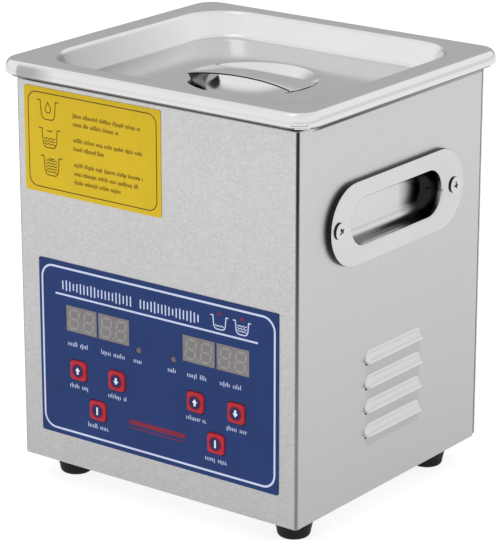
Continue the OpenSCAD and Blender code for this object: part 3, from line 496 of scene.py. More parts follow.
def slab(outline, low, high, soft=0.0):
    """A closed solid from a flat outline, from low to high along Z, with softened rims."""
    bm = loft([lift(outline, low), lift(outline, high)], cap_start=True, cap_end=True)
    if soft:
        bmesh.ops.remove_doubles(bm, verts=bm.verts, dist=1e-4)
        ends = [[v.co.z for v in e.verts] for e in bm.edges]
        rim = [e for e, (z0, z1) in zip(bm.edges, ends) if len(e.link_faces) == 2 and abs(z0 - z1) < 1e-6]
        bmesh.ops.bevel(bm, geom=rim, offset=soft, segments=2, profile=0.6, affect="EDGES",
                        clamp_overlap=True)
    return bm


TO_FRONT = Matrix(((1, 0, 0, 0), (0, 0, -1, 0), (0, 1, 0, 0), (0, 0, 0, 1)))
TO_BACK = Matrix(((-1, 0, 0, 0), (0, 0, 1, 0), (0, 1, 0, 0), (0, 0, 0, 1)))
TO_RIGHT = Matrix(((0, 0, 1, 0), (1, 0, 0, 0), (0, 1, 0, 0), (0, 0, 0, 1)))
MIRROR = Matrix.Scale(-1, 4, (1, 0, 0))
CORNERS = [(-1, -1), (-1, 1), (1, -1), (1, 1)]


def at(x, y, z):
    return Matrix.Translation((x, y, z))


def block(lo, hi, soft=0.0):
    bm = bmesh.new()
    bmesh.ops.create_cube(bm, size=1.0)
    size = [b - a for a, b in zip(lo, hi)]
    mid = [(a + b) / 2 for a, b in zip(lo, hi)]
    bmesh.ops.transform(bm, matrix=at(*mid) @ Matrix.Diagonal((*size, 1)), verts=bm.verts)
    if soft:
        bmesh.ops.bevel(bm, geom=bm.edges[:], offset=soft, segments=2, profile=0.6, affect="EDGES")
    return bm


def subtract(o, cutter_bm, scale=1.0, use_self=False):
    """Cuts a bmesh, which is used up, out of an object and applies the cut."""
    bmesh.ops.recalc_face_normals(cutter_bm, faces=cutter_bm.faces)
    tool = link_mesh("cutter", cutter_bm, scale)
    o.modifiers.clear()
    b = o.modifiers.new("cut", "BOOLEAN")
    b.object = tool
    b.solver = "EXACT"
    b.use_self = use_self
    dg = bpy.context.evaluated_depsgraph_get()
    made = bpy.data.meshes.new_from_object(o.evaluated_get(dg))
    whole = o.data
    o.modifiers.clear()
    o.data = made
    bpy.data.meshes.remove(whole)
    bpy.data.objects.remove(tool)


def cut(o, *cutters):
    """Cuts bmeshes, in millimetres, out of a piece and smooths the piece again."""
    subtract(o, join(*cutters), MM, use_self=True)
    weigh_normals(o)
    smooth(o, 40)


def drill(radius, reach, sides, x, y, z, facing=TO_FRONT):
    """A round cutter along Y, or along the axis that facing turns it to."""
    return place(lathe([(radius, -reach), (radius, reach)], sides), at(x, y, z) @ facing)


def front_block(x0, z0, x1, z1, reach=3):
    """A square-cornered cutter through the front wall."""
    return block((x0, FRONT - reach, z0), (x1, FRONT + reach, z1))


def back_screw_holes():
    return [drill(1.6, 4, 20, s * BACK_SCREW_X, WRAP_BACK, z) for s in (-1, 1) for z in BACK_SCREW_Z]


def show_outside(bm, axis, level, sign=1):
    """Turns an open shell so that its faces at a level of an axis point along that axis."""
    bmesh.ops.recalc_face_normals(bm, faces=bm.faces)
    there = [f for f in bm.faces if abs(f.calc_center_median()[axis] - level) < 0.01]
    if sum(f.normal[axis] for f in there) * sign < 0:
        bmesh.ops.reverse_faces(bm, faces=bm.faces)


def solidify(o, thickness_mm, offset=-1):
    s = o.modifiers.new("sheet", "SOLIDIFY")
    s.thickness = thickness_mm * MM
    s.offset = offset
    s.use_even_offset = True
    s.use_rim = True
    return s


def piece(o, body, *nodes, slot=None):
    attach(o, body)
    if nodes:
        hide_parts(*nodes)
    return o


# ------------------------------------------------------------------ case
def build_case():
    """The bent sheet: walls, folded flanges, openings, louvres."""
    low, high, t, fold = CASE_LOW, CASE_TOP, SHEET, 0.7
    depth = WRAP_BACK - FRONT

    def ring(inset, z):
        flat = round_ring(CASE_W - 2 * inset, depth - 2 * inset, BEND_R - inset, 6, 8)
        return [(x, y + MID_Y, z) for x, y in flat]

    bends = [(fold * (1 - math.cos(a)), fold * (1 - math.sin(a))) for a in arc(90, 0, 4)]
    flanges = ((4.4, high), (4.4, high - t), (t + 0.3, high - t), (t, high - t - 0.4),
               (t, low + t + 0.4), (t + 0.3, low + t), (8.0, low + t), (8.0, low))
    walls = [ring(inset, low + rise) for inset, rise in bends]
    walls += [ring(0, z) for z in (low + 20, low + 90, high - 30)]
    walls += [ring(inset, high - drop) for inset, drop in reversed(bends)]
    walls += [ring(inset, z) for inset, z in flanges]
    o = finish_mesh("case_shell", loft(walls, wrap=True), STEEL_CASE, 40)
    cuts = [block((-WALL_X + 10, WRAP_BACK - 12, low - 5), (WALL_X - 10, WRAP_BACK + 5, high + 5))]
    grip = at(WALL_X - 3, 0, GRIP_Z) @ TO_RIGHT
    for m in (grip, MIRROR @ grip):
        cuts.append(place(slab(slot_ring(77.5, 26), 0, 6), m))
    for name in KEYS:
        c, h = centre(name), KEY_W / 2 + 0.45
        cuts.append(front_block(c.x - h, c.z - h, c.x + h, c.z + h))
    for first, last in ((0, 1), (2, 3)):
        lo, hi = mm_box(WINDOWS[first])[0], mm_box(WINDOWS[last])[1]
        cuts.append(front_block(lo.x - 0.3, lo.z - 0.3, hi.x + 0.3, hi.z + 0.3))
    for name in LIGHTS:
        c = centre(name)
        cuts.append(drill(1.95, 3, 24, c.x, FRONT, c.z))
    half = LOUVRE_W / 2
    for x in (-WALL_X, WALL_X):
        for z in LOUVRE_ZS:
            cuts.append(block((x - 3, LOUVRE_Y - half + 2.6, z - 0.1),
                              (x + 3, LOUVRE_Y + half - 2.6, z + 4.6)))
            for y in (LOUVRE_Y - half + 1.3, LOUVRE_Y + half - 1.3):
                cuts.append(drill(1.15, 3, 16, x, y, z - 0.2, TO_RIGHT))
    cut(o, *cuts, *back_screw_holes())
    spots = [at(WALL_X, LOUVRE_Y, z) @ TO_RIGHT for z in LOUVRE_ZS]
    hoods = copy_at(louvre_hood(), spots + [MIRROR @ m for m in spots])
    piece(finish_mesh("louvre_hoods", hoods, STEEL_HOOD_PAINTED_LIGHT, 50), "case")
    piece(o, "case", "case_wrap", slot="case_steel")


def louvre_hood():
    """One pressed hood, drawn flat: x along it, y up from its lip, z outwards."""
    def point(u, v, sunk):
        """u runs from -1 to 1 along the hood, v from 0 at its lip to 1 at its root."""
        edge = (1 - abs(u)) * LOUVRE_W / 2
        tall, reach = [math.sqrt(max(0.0, 1 - (1 - min(1.0, edge / r)) ** 2)) for r in (3.6, 2.2)]
        out = LOUVRE_OUT * (0.5 + 0.5 * math.cos(math.pi * v ** 1.1))
        return (u * LOUVRE_W / 2, v * LOUVRE_H * tall, max(out * reach - sunk, -0.75))

    ends = [1 - 0.16 * (1 - math.cos(a)) for a in arc(0, 90, 9)]
    us = ends + [0.84 - 1.68 * k / 12 for k in range(1, 12)] + [-u for u in reversed(ends)]
    vs = [0, 0.02] + [0.02 + 0.98 * k / 10 for k in range(1, 11)]
    outer, inner = [[point(u, v, sunk) for u in us for v in vs] for sunk in (0, 0.75)]
    return two_layers(outer, inner, len(vs))


def build_back():
    """Plain back plate with its openings and a soft edge."""
    w, h = back_hi.x - back_lo.x, back_hi.z - back_lo.z
    plate = slab(round_ring(w, h, 1.5, 4, 4), 0, SHEET, soft=0.2)
    place(plate, at(0, WRAP_BACK, (back_hi.z + back_lo.z) / 2) @ TO_BACK)
    o = finish_mesh("back_plate", plate, STEEL_CASE, 40)
    fan, inlet = centre("fan_guard"), centre("inlet_body")
    fan_r, half_w, half_h = 27, 13.7, 15.7
    cuts = [drill(fan_r, 4, 72, fan.x, WRAP_BACK, fan.z),
            block((inlet.x - half_w, WRAP_BACK - 3, inlet.z - half_h),
                  (inlet.x + half_w, WRAP_BACK + 3, inlet.z + half_h))]
    for sx, sz in CORNERS:
        cuts.append(drill(2.15, 4, 20, fan.x + sx * FAN_PITCH, WRAP_BACK, fan.z + sz * FAN_PITCH))
    cut(o, *cuts, *back_screw_holes())
    fold = block((-70, WRAP_BACK - 6, back_hi.z - 0.8), (70, WRAP_BACK + 0.2, back_hi.z), 0.15)
    piece(finish_mesh("back_plate_fold", fold, STEEL_CASE), "case")
    piece(o, "case", "back_panel", slot="case_steel")


# ------------------------------------------------------------------ lid
DISH_R, DISH_H = 30.75, 9.0
RECESS_W, RECESS_D, RECESS_R = 147.0, 133.0, 23.5
RECESS_DEEP = 12
LID_T = 0.6


def lid_profile():
    """(width, depth, corner radius, height) of each ring from the lid's edge to its recess floor."""
    w, d, r, top = lid_hi.x - lid_lo.x, lid_hi.y - lid_lo.y, 12.0, lid_hi.z
    floor = top - RECESS_DEEP
    edge = [(2.2, 6.0), (1.2, 6.15), (0.6, 6.2), (0.25, 6.05), (0.06, 5.7), (0.0, 5.2), (0.06, 4.4),
            (0.22, 3.5), (0.5, 2.6), (0.88, 1.8), (1.3, 1.15), (1.7, 0.68), (2.1, 0.34), (2.5, 0.12),
            (2.95, 0.02), (3.4, 0.0), (6.5, 0.0)]
    rings = [(w - 2 * k, d - 2 * k, r - k, top - drop) for k, drop in edge]
    mouth, fillet, slope = 2.4, 3.4, 22
    for b in arc(0, 90 - slope, 7):
        k = mouth * (1 - math.sin(b))
        rings.append((RECESS_W + 2 * k, RECESS_D + 2 * k, RECESS_R + k, top - mouth + mouth * math.cos(b)))
    for c in arc(slope, 90, 8):
        k = 2.97 + fillet * (1 - math.cos(c))
        z = floor + fillet - fillet * math.sin(c)
        rings.append((RECESS_W - 2 * k, RECESS_D - 2 * k, RECESS_R - k * 0.8, z))
    return rings, floor


def circle_like(ring, radius):
    """Points on a circle in the same directions as those of ring."""
    return [(radius * x / math.hypot(x, y), radius * y / math.hypot(x, y)) for x, y in ring]


def build_lid():
    """The pressed pan: one open sheet with a rolled edge, a recess and a round dish."""
    spec, floor = lid_profile()
    rings = lift_all(spec, 12, 10)
    last = [(x, y) for x, y, _ in rings[-1]]
    rim = circle_like(last, DISH_R + 1.2)
    for t in (0.12, 0.3, 0.5, 0.7, 0.88):
        between = [(a[0] + (b[0] - a[0]) * t, a[1] + (b[1] - a[1]) * t) for a, b in zip(last, rim)]
        rings.append(lift(between, floor))
    rings.append(lift(rim, floor))
    ball = (DISH_R ** 2 + DISH_H ** 2) / (2 * DISH_H)
    dish = [(DISH_R + 0.6, -0.04), (DISH_R + 0.15, -0.2), (DISH_R - 0.35, -0.52)]
    for r in [DISH_R * t for t in (0.94, 0.86, 0.76, 0.64, 0.5, 0.36, 0.22, 0.1, 0.03)]:
        dish.append((r, ball - DISH_H - math.sqrt(ball ** 2 - r ** 2)))
    rings += [lift(circle_like(last, r), floor + z) for r, z in dish]
    bm = loft(rings, cap_end=True)
    show_outside(bm, 2, floor)
    o = finish_mesh("lid_pan", bm, STEEL_LID, 60, weighted=False, recalc=False)
    solidify(o, LID_T)
    piece(o, "lid", "lid", slot="polished_steel")


def eased(k, n, power):
    """Step k of n from -1 to 1. The steps grow shorter toward both ends when power is under 1."""
    t = -1 + 2 * k / n
    return math.copysign(abs(t) ** power, t)


def build_strap():
    """The arched strap, flared where it meets the dish rim, with painted shade on its edges and on part of
    its underside.
    """
    floor, reach = lid_hi.z - RECESS_DEEP, DISH_R + 0.75
    nx, ny = 60, 10

    def grid(under):
        points = []
        for i in range(nx + 1):
            x = eased(i, nx, 0.9) * reach
            u = abs(x) / reach
            half_width = 7.0 + 3.0 * u ** 2 + 3.2 * max(0.0, (u - 0.86) / 0.14) ** 2.2
            height = 2.3 * (1 - u ** 2.2) + 0.25
            for j in range(ny + 1):
                v = eased(j, ny, 0.75)
                y = v * half_width
                limit = math.sqrt(max(0.0, (reach + 0.01) ** 2 - min(abs(y), reach) ** 2))
                z = max(height - 1.0, -0.45) if under else max(height - 0.35 * v ** 4, 0.05)
                points.append((max(-limit, min(limit, x)), y, floor + z))
        return points

    bm = two_layers(grid(False), grid(True), ny + 1)
    bmesh.ops.recalc_face_normals(bm, faces=bm.faces)
    # Painted shade: the edges, and the underside from 13 to 25 mm out, take the near-black material.
    for f in bm.faces:
        pale_below = f.normal.z < -0.5 and not 13 < abs(f.calc_center_median().x) < 25
        f.material_index = 0 if f.normal.z > 0.5 or pale_below else 1
    o = finish_mesh("lid_grip_strap", bm, [STEEL_LID, PAINTED_SHADE_EDGE], 50)
    piece(o, "lid", "lid_strap", slot="polished_steel")


# ------------------------------------------------------------------ tank
def build_tank():
    """The deep-drawn tank and the gasket under its rim."""
    top, floor = tank_hi.z, tank_lo.z + SHEET
    w, d, r, hem = tank_hi.x - tank_lo.x, tank_hi.y - tank_lo.y, 11, 0.9
    spec = [(w, d, r, top - 1.5)]
    for a in arc(0, 90, 6):
        k = hem * (1 - math.cos(a))
        spec.append((w - 2 * k, d - 2 * k, r - k, top - hem + hem * math.sin(a)))
    spec.append((w - 8, d - 8, 12, top))

    def basin_ring(k, z):
        """A ring of the basin, k inside its mouth."""
        spec.append((150 - 2 * k, 135 - 2 * k, 25 - k, z))

    lip, fillet, draft = 2.2, 8.0, math.tan(math.radians(4))
    for b in arc(0, 86, 7):
        basin_ring(-lip * (1 - math.sin(b)), top - lip + lip * math.cos(b))
    for z in (top - 12, top - 40, top - 70, floor + fillet + 2):
        basin_ring((top - z) * draft, z)
    for c in arc(4, 90, 8):
        k = (top - floor - fillet) * draft + fillet * (1 - math.cos(c))
        basin_ring(k, floor + fillet - fillet * math.sin(c))
    rings = lift_all(spec, 10, 8)
    last = rings[-1]
    rings += [[(x * t, y * t, floor) for x, y, _ in last] for t in (0.6, 0.3, 0.08)]
    bm = loft(rings, cap_end=True)
    show_outside(bm, 2, floor)
    for f in bm.faces:
        c = f.calc_center_median()
        outer = abs(c.x) > w / 2 - 1 or abs(c.y) > d / 2 - 1
        f.material_index = 1 if c.z > top - 2 and outer else 0
    o = finish_mesh("tank_pan", bm, [STEEL_LID, STEEL_SHADE], 60, weighted=False, recalc=False)
    solidify(o, SHEET)
    piece(o, "case", "tank", slot="polished_steel")
    lo, hi = mm_box("rim_gasket")
    outside, inside = (161, 148, 6), (154.6, 141.6, 5)
    spec = [(*outside, lo.z), (*outside, hi.z), (*inside, hi.z), (*inside, lo.z)]
    seal = finish_mesh("rim_seal", loft(lift_all(spec, 10, 8), wrap=True), RUBBER, 40)
    piece(seal, "case", "rim_gasket", slot="foot_rubber")


# ------------------------------------------------------------------ screws
def screw_head(d, h):
    """Pan head with a cross recess, standing on z = 0, with its shank below; its rim and its recess take
    painted shade.
    """
    r, rise = d / 2, h * 0.58
    prof = [(0.001, -7.0), (d * 0.24, -7.0), (d * 0.26, -6.6), (d * 0.26, 0.0), (r * 0.97, 0.0),
            (r, h * 0.1), (r, rise)]
    prof += [(r - r * 0.1 * (1 - math.cos(a)), rise + h * 0.2 * math.sin(a)) for a in arc(10, 90, 5)]
    prof += [(r * 0.7, h * 0.88), (r * 0.5, h * 0.95), (r * 0.3, h * 0.99), (0.001, h)]
    bm = lathe(prof, 40)
    bmesh.ops.remove_doubles(bm, verts=bm.verts, dist=1e-3)
    bmesh.ops.recalc_face_normals(bm, faces=bm.faces)
    o = link_mesh("head", bm)
    long, wide = r * 0.58, r * 0.13
    for angle in (0, 90):
        slit = [lift([(-l, -w), (l, -w), (l, w), (-l, w)], z)
                for l, w, z in ((long * 1.05, wide * 1.15, h + 0.4), (long * 0.45, wide * 0.7, h * 0.35))]
        subtract(o, place(loft(slit, cap_start=True, cap_end=True), turn(angle, "Z")))
    out = bmesh.new()
    out.from_mesh(o.data)
    bpy.data.objects.remove(o)
    # Painted shade: the head's rim and the faces inside the cross recess take the near-black material.
    for f in out.faces:
        c = f.calc_center_median()
        far = math.hypot(c.x, c.y)
        side = far > r * 0.9 and 0.02 < c.z < h * 0.6
        slot = far < r * 0.66 and c.z > 0.1 and (c.z < h * 0.72 or abs(f.normal.z) < 0.6)
        f.material_index = 1 if side or slot else 0
    return out


def screws(name, node, d, h, spots):
    o = finish_mesh(name, copy_at(screw_head(d, h), spots), [STEEL_SCREW, PAINTED_SHADE_EDGE], 35)
    piece(o, "case", node, slot="zinc_screws")


def turn(deg, axis):
    return Matrix.Rotation(math.radians(deg), 4, axis)


def build_screws():
    """Every screw, each head turned its own way."""
    spots = []
    for y, spin in ((-46.3, 38), (46.3, 12)):
        m = at(plate_hi.x, y, GRIP_Z) @ TO_RIGHT @ turn(spin, "Z")
        spots += [m, MIRROR @ m]
    screws("grip_screws", "handle_screws", 7.8, 1.35, spots)
    back = WRAP_BACK + SHEET
    spots = [at(s * BACK_SCREW_X, back, z) @ TO_BACK @ turn(17 * i + 20 * s, "Z")
             for i, z in enumerate(BACK_SCREW_Z) for s in (-1, 1)]
    flat = Matrix.Diagonal((1, 1, 0.45, 1))
    for sx, sy in CORNERS:
        under = at(sx * (WALL_X - 4.6), sy * 30, CASE_LOW) @ turn(180, "X")
        spots.append(under @ flat @ turn(25 * sx + 10 * sy, "Z"))
    screws("case_fixings", "case_screws", 5.6, 1.9, spots)
    fan = centre("fan_guard")
    spots = []
    for sx, sz in CORNERS:
        m = at(fan.x + sx * FAN_PITCH, back + 1.6, fan.z + sz * FAN_PITCH)
        spots.append(m @ TO_BACK @ turn(30 * sx + 15 * sz, "Z"))
    screws("fan_fixings", "fan_screws", 7.0, 2.3, spots)
    feet = [centre(name) for name in FEET]
    spots = [at(c.x, c.y, 5.5) @ turn(180, "X") @ turn(20 + 9 * i, "Z") for i, c in enumerate(feet)]
    screws("foot_fixings", "foot_screws", 7.4, 2.5, spots)


# ------------------------------------------------------------------ feet
def build_feet():
    """Tapered rubber feet with a round lower edge and a well for the screw."""
    for name in FEET:
        c = centre(name)
        lo, hi = mm_box(name)
        top, big, taper, toe = hi.z, (hi.x - lo.x) / 2, 2.3, 1.7
        prof = [(2.2, top), (big - 0.4, top), (big, top - 0.5)]
        prof += [(big - taper * k / 6, top - 0.5 - (top - 3.0) * k / 6) for k in range(1, 6)]
        prof += [(big - taper - toe + toe * math.cos(a), 2.3 - 2.3 * math.sin(a)) for a in arc(0, 84, 8)]
        prof[-1] = (prof[-1][0], 0.0)
        prof += [(4.7, 0.0), (4.2, 0.4), (4.2, 5.5), (2.2, 5.5)]
        bm = place(lathe(prof, 48, wrap=True), at(c.x, c.y, 0))
        piece(finish_mesh(name + "_rubber", bm, RUBBER, 40), "case", name, slot="foot_rubber")


# ------------------------------------------------------------------ handles
def build_handles():
    """A finger cup on each side: a plate with round ends, shifted aside, round a slot-shaped cup; the
    plate's rim takes painted shade.
    """
    out = plate_hi.x - WALL_X
    deep = plate_hi.x - (plate_lo.x + 0.6)
    edge, lip, fil = 0.4, 1.1, 6.0
    w0, h0, w1, h1, aside = 107.0, 39.0, 73.5, 22.0, 0.75
    spec = [(w0, h0, 0.02), (w0, h0, 0.95)]
    for a in arc(0, 90, 5):
        k = edge * (1 - math.cos(a))
        spec.append((w0 - 2 * k, h0 - 2 * k, out - edge + edge * math.sin(a)))
    spec.append((w0 - 2 * edge - 4, h0 - 2 * edge - 4, out))
    for b in arc(0, 90, 6):
        k = lip * (1 - math.sin(b))
        spec.append((w1 + 2 * k, h1 + 2 * k, out - lip + lip * math.cos(b)))
    for c in arc(0, 90, 10):
        k = fil * (1 - math.cos(c))
        spec.append((w1 - 2 * k, h1 - 2 * k, out - deep + fil - fil * math.sin(c)))
    spec += [(w1 - 16, h1 - 16, out - deep), (w1 - 19.5, h1 - 20.6, out - deep)]
    rings = []
    for w, h, z in spec:
        shift = aside if w > w1 + 9 else 0
        rings.append([(x + shift, y, z) for x, y in slot_ring(w, h, 24, 14)])
    right = at(WALL_X, 0, GRIP_Z) @ TO_RIGHT
    for s, m, name in ((1, right, "right"), (-1, MIRROR @ right, "left")):
        bm = place(loft(rings, cap_end=True), m)
        bmesh.ops.remove_doubles(bm, verts=bm.verts, dist=1e-4)
        show_outside(bm, 0, s * plate_hi.x, s)
        # Painted shade: the plate's rim between the wall and its top edge takes the near-black material.
        for f in bm.faces:
            c = f.calc_center_median()
            far = math.hypot(max(0.0, abs(c.y - aside) - (w0 - h0) / 2), c.z - GRIP_Z)
            f.material_index = 1 if far > 18.5 and WALL_X < abs(c.x) < plate_hi.x - edge * 0.45 else 0
        o = finish_mesh("grip_" + name, bm, [STEEL_BRIGHT, PAINTED_SHADE_EDGE], 60, weighted=False, recalc=False)
        solidify(o, 0.6)
        piece(o, "case", "handle_" + name, slot="polished_steel")


# ------------------------------------------------------------------ prints
INK = 0.05


def outline_ring(w, h, r, line, z):
    """A printed border line as a thin solid frame. In every print, z is its lowest and highest level."""
    outer = round_ring(w, h, r, 8, 2)
    inner = round_ring(w - 2 * line, h - 2 * line, max(0.05, r - line), 8, 2)
    return loft([lift(outer, z[0]), lift(outer, z[1]), lift(inner, z[1]), lift(inner, z[0])], wrap=True)


def stroke(points, width, z):
    """A printed line of even width through points, with square joins."""
    pts = [Vector(p) for p in points]
    left, right = [], []
    for i, p in enumerate(pts):
        a = (p - pts[i - 1]).normalized() if i else (pts[1] - p).normalized()
        b = (pts[i + 1] - p).normalized() if i < len(pts) - 1 else a
        t = (a + b).normalized()
        nrm = Vector((-t.y, t.x))
        k = width / 2 / max(0.5, t.dot(a))
        left.append(p + nrm * k)
        right.append(p - nrm * k)
    loop = right + left[::-1]
    n = len(loop)
    faces = []
    for i in range(len(pts) - 1):
        a, b, c, d = i, i + 1, n - 2 - i, n - 1 - i
        faces.append((d + n, a + n, b + n, c + n))
        faces.append((a, d, c, b))
    for i in range(n):
        j = (i + 1) % n
        faces.append((i, j, j + n, i + n))
    return from_lists([(q.x, q.y, h) for h in z for q in loop], faces)


def rect(x0, y0, x1, y1, z):
    return block((x0, y0, z[0]), (x1, y1, z[1]))


def disc(x, y, r, z, n=40):
    return place(lathe([(r, z[0]), (r, z[1])], n), at(x, y, 0))


def greek_line(x0, x1, y, height, z, seed, pitch=0.66, width=0.3):
    """Groups of thin upright strokes of uneven height, standing where print would be."""
    parts = []
    x, k, left = x0, seed, 5 + seed % 4
    base = y - height / 2
    while x < x1 - width:
        k = (k * 73 + 41) % 997
        if left <= 0:
            left = 5 + k % 9
            x += pitch * 1.3
            continue
        tall = height * (1.0 if k % 5 == 0 else 0.66)
        foot = -height * 0.25 if k % 13 == 0 else 0.0
        parts.append(rect(x, base + foot, x + width, base + tall, z))
        if k % 3 == 0:
            bar = base + (0.12 if k % 2 else height * 0.52)
            parts.append(rect(x + width * 0.5, bar, x + pitch, bar + 0.24, z))
        x += pitch
        left -= 1
    return parts


def wave_bars(x0, x1, y, height, z, phase):
    """A row of upright strokes whose heights follow a sound wave."""
    parts = []
    half, n = 0.36, int((x1 - x0) / 2.05) + 1
    for i in range(n):
        s = 0.5 + 0.5 * abs(math.sin(i * 0.9 + phase))
        h = height * (0.35 + 0.65 * s * (0.6 + 0.4 * abs(math.cos(i * 0.37 + phase))))
        x = x0 + i * (x1 - x0) / (n - 1)
        parts.append(rect(x - half, y - h / 2, x + half, y + h / 2, z))
    return parts


def basin(cx, cy, half, width, z):
    """A basin's outline, from the points of its right half with the rim first."""
    left = [(cx - x, cy + y) for x, y in half]
    right = [(cx + x, cy + y) for x, y in reversed(half)]
    return stroke(left + right, width, z)


def ripples(cx, y, count, rise, reach, swing, steps, period, width, z):
    """Wavy lines, one above the other, each a little out of step with the one below."""
    lines = []
    for k in range(count):
        points = []
        for s in range(steps + 1):
            swell = swing * math.sin(s * math.pi / period + k)
            points.append((cx - reach + 2 * reach * s / steps, y + k * rise + swell))
        lines.append(stroke(points, width, z))
    return lines


def ink(name, body, slot, material, matrix, *parts):
    """A print: it rides on a body and stands for no node of its own. Its slot argument is not used."""
    piece(finish_mesh(name, place(join(*parts), matrix), material, 30, weighted=False), body, slot=slot)


def build_label():
    """The yellow label with strokes for its print and three basin pictograms."""
    w, h = label_hi.x - label_lo.x, label_hi.z - label_lo.z
    flat = at(LABEL_X, FRONT, LABEL_Z) @ TO_FRONT
    t = FRONT - label_lo.y
    film = place(slab(round_ring(w, h, 1.2, 4, 4), 0, t - INK, soft=0.06), flat)
    piece(finish_mesh("care_label_film", film, LABEL, 40), "case", "care_label", slot="label_film")
    z = (t - INK - 0.02, t)
    parts = [outline_ring(w - 4.6, h - 4.6, 5.0, 0.45, z)]
    lines = [(-11.0, 28.6, 14.6, 3), (-11.0, 16.0, 10.6, 11), (-10.8, 29.8, 3.1, 23), (-10.8, 7.6, -1.0, 31),
             (-10.6, 30.4, -8.6, 43), (-10.6, 27.0, -12.8, 57), (-10.6, 17.2, -16.9, 67)]
    for x0, x1, y, seed in lines:
        parts += greek_line(x0, x1, y, 2.1, z, seed)
    line = 0.42
    tub = [(6.6, 4.6), (4.6, 4.6), (4.1, -1.8), (3.4, -3.6), (2.2, -4.3)]
    for cx, cy, waves in ((-26.0, 14.5, 0), (-25.2, 1.2, 3), (-24.4, -12.0, 5)):
        parts.append(basin(cx, cy, tub, line, z))
        parts += ripples(cx, cy - 2.6, waves, 1.35, 3.3, 0.3, 16, 2.6, 0.34, z)
        if waves:
            parts.append(rect(cx - 1.6, cy + 3.4, cx + 1.6, cy + 3.9, z))
        else:
            drop = [(cx + 1.7 * math.sin(a), cy + 0.6 - 1.7 * math.cos(a)) for a in arc(-130, 130, 14)]
            parts.append(stroke(drop + [(cx, cy + 4.0), drop[0]], line, z))
    ink("care_label_print", "case", "label_film", LABEL_INK, flat, *parts)


def build_overlay():
    """The blue control film, its openings and its print."""
    w, h = panel_hi.x - panel_lo.x, panel_hi.z - panel_lo.z
    flat = at(PANEL_X, FRONT, PANEL_Z) @ TO_FRONT
    t = FRONT - panel_lo.y
    film = t - INK
    sheet = place(slab(round_ring(w, h, 0.8, 3, 4), 0, film, soft=0.08), flat)
    o = finish_mesh("overlay_film", sheet, OVERLAY, 40)
    cuts = []
    for name in KEYS:
        c = centre(name)
        hole = slab(round_ring(KEY_W + 0.6, KEY_W + 0.6, 2.2, 6, 2), -2, 2)
        cuts.append(place(hole, at(c.x, FRONT, c.z) @ TO_FRONT))
    for name in WINDOWS:
        lo, hi = mm_box(name)
        cuts.append(front_block(lo.x - 0.05, lo.z - 0.05, hi.x + 0.05, hi.z + 0.05, 2))
    for name in LIGHTS:
        c = centre(name)
        cuts.append(drill(1.75, 3, 32, c.x, FRONT, c.z))
    cut(o, *cuts)
    piece(o, "case", "panel_overlay", slot="overlay_film")
    z = (film - 0.02, t)
    white = [outline_ring(2 * 68.3 + 0.5, 2 * 40.8 + 0.5, 7.0, 1.0, z)]
    white += wave_bars(-55.4, -14.5, 32.0, 5.6, z, 0.3) + wave_bars(-8.6, 24.9, 32.0, 5.6, z, 1.4)
    white.append(rect(-60, 26.85, 58.7, 27.75, z))
    red = []
    tub = [(5.0, 3.2), (3.7, 3.2), (3.3, -1.4), (2.6, -2.6), (1.6, -3.0)]
    cy = 32.3
    for cx, waves in ((37.1, 1), (49.8, 3)):
        white.append(basin(cx, cy, tub, 0.55, z))
        white += ripples(cx, cy - 1.4, waves, 1.25, 2.6, 0.28, 14, 2.4, 0.4, z)
        red.append(disc(cx, cy + 4.4, 0.9, z, 20))
    captions = [(-52.9, -40.3, 3.9, 5), (-32.5, -17.9, 3.9, 17), (-13.0, -8.2, 3.9, 29),
                (7.2, 12.0, 3.9, 37), (18.4, 29.4, 3.9, 41), (37.3, 50.0, 3.9, 53)]
    for name, seed in zip(KEYS, (61, 71, 83, 97, 101, 113)):
        x, y = centre(name).x - PANEL_X, centre(name).z - PANEL_Z - 8.0
        half = 6.4 if name in ("key_heat", "key_sound") else 5.5
        captions.append((x - half, x + half, y, seed))
    for x0, x1, y, seed in captions:
        white += greek_line(x0, x1, y, 2.3, z, seed, 1.02, 0.36)
    red += [rect(-16, -28.4, 17, -26.0, z), rect(-16, -30.2, 17, -29.7, z)]
    ink("overlay_print", "case", "overlay_film", OVERLAY_INK, flat, *white)
    ink("overlay_accent", "case", "overlay_film", RED_INK, flat, *red)


def digit(dx, z):
    """The seven unlit segments and the point of one slanted digit."""
    half_w, half_h, gap, half_line = 2.7, 4.6, 0.28, 0.575
    long, tip = half_w - half_line * 1.2 - gap, half_w - half_line * 0.2 - gap
    shapes = [[(-long, y - half_line), (long, y - half_line), (tip, y), (long, y + half_line),
               (-long, y + half_line), (-tip, y)] for y in (-half_h, 0, half_h)]
    for x in (-half_w, half_w):
        left, right = x - half_line, x + half_line
        for y0, y1 in ((-half_h + gap, -gap), (gap, half_h - gap)):
            low, high = y0 + half_line, y1 - half_line
            shapes.append([(x, y0), (right, low), (right, high), (x, y1), (left, high), (left, low)])
    parts = [slab([(dx + x + y * 0.12, y) for x, y in shape], *z) for shape in shapes]
    return parts + [disc(dx + half_w + 1.4, -half_h + 0.1, 0.5, z, 16)]


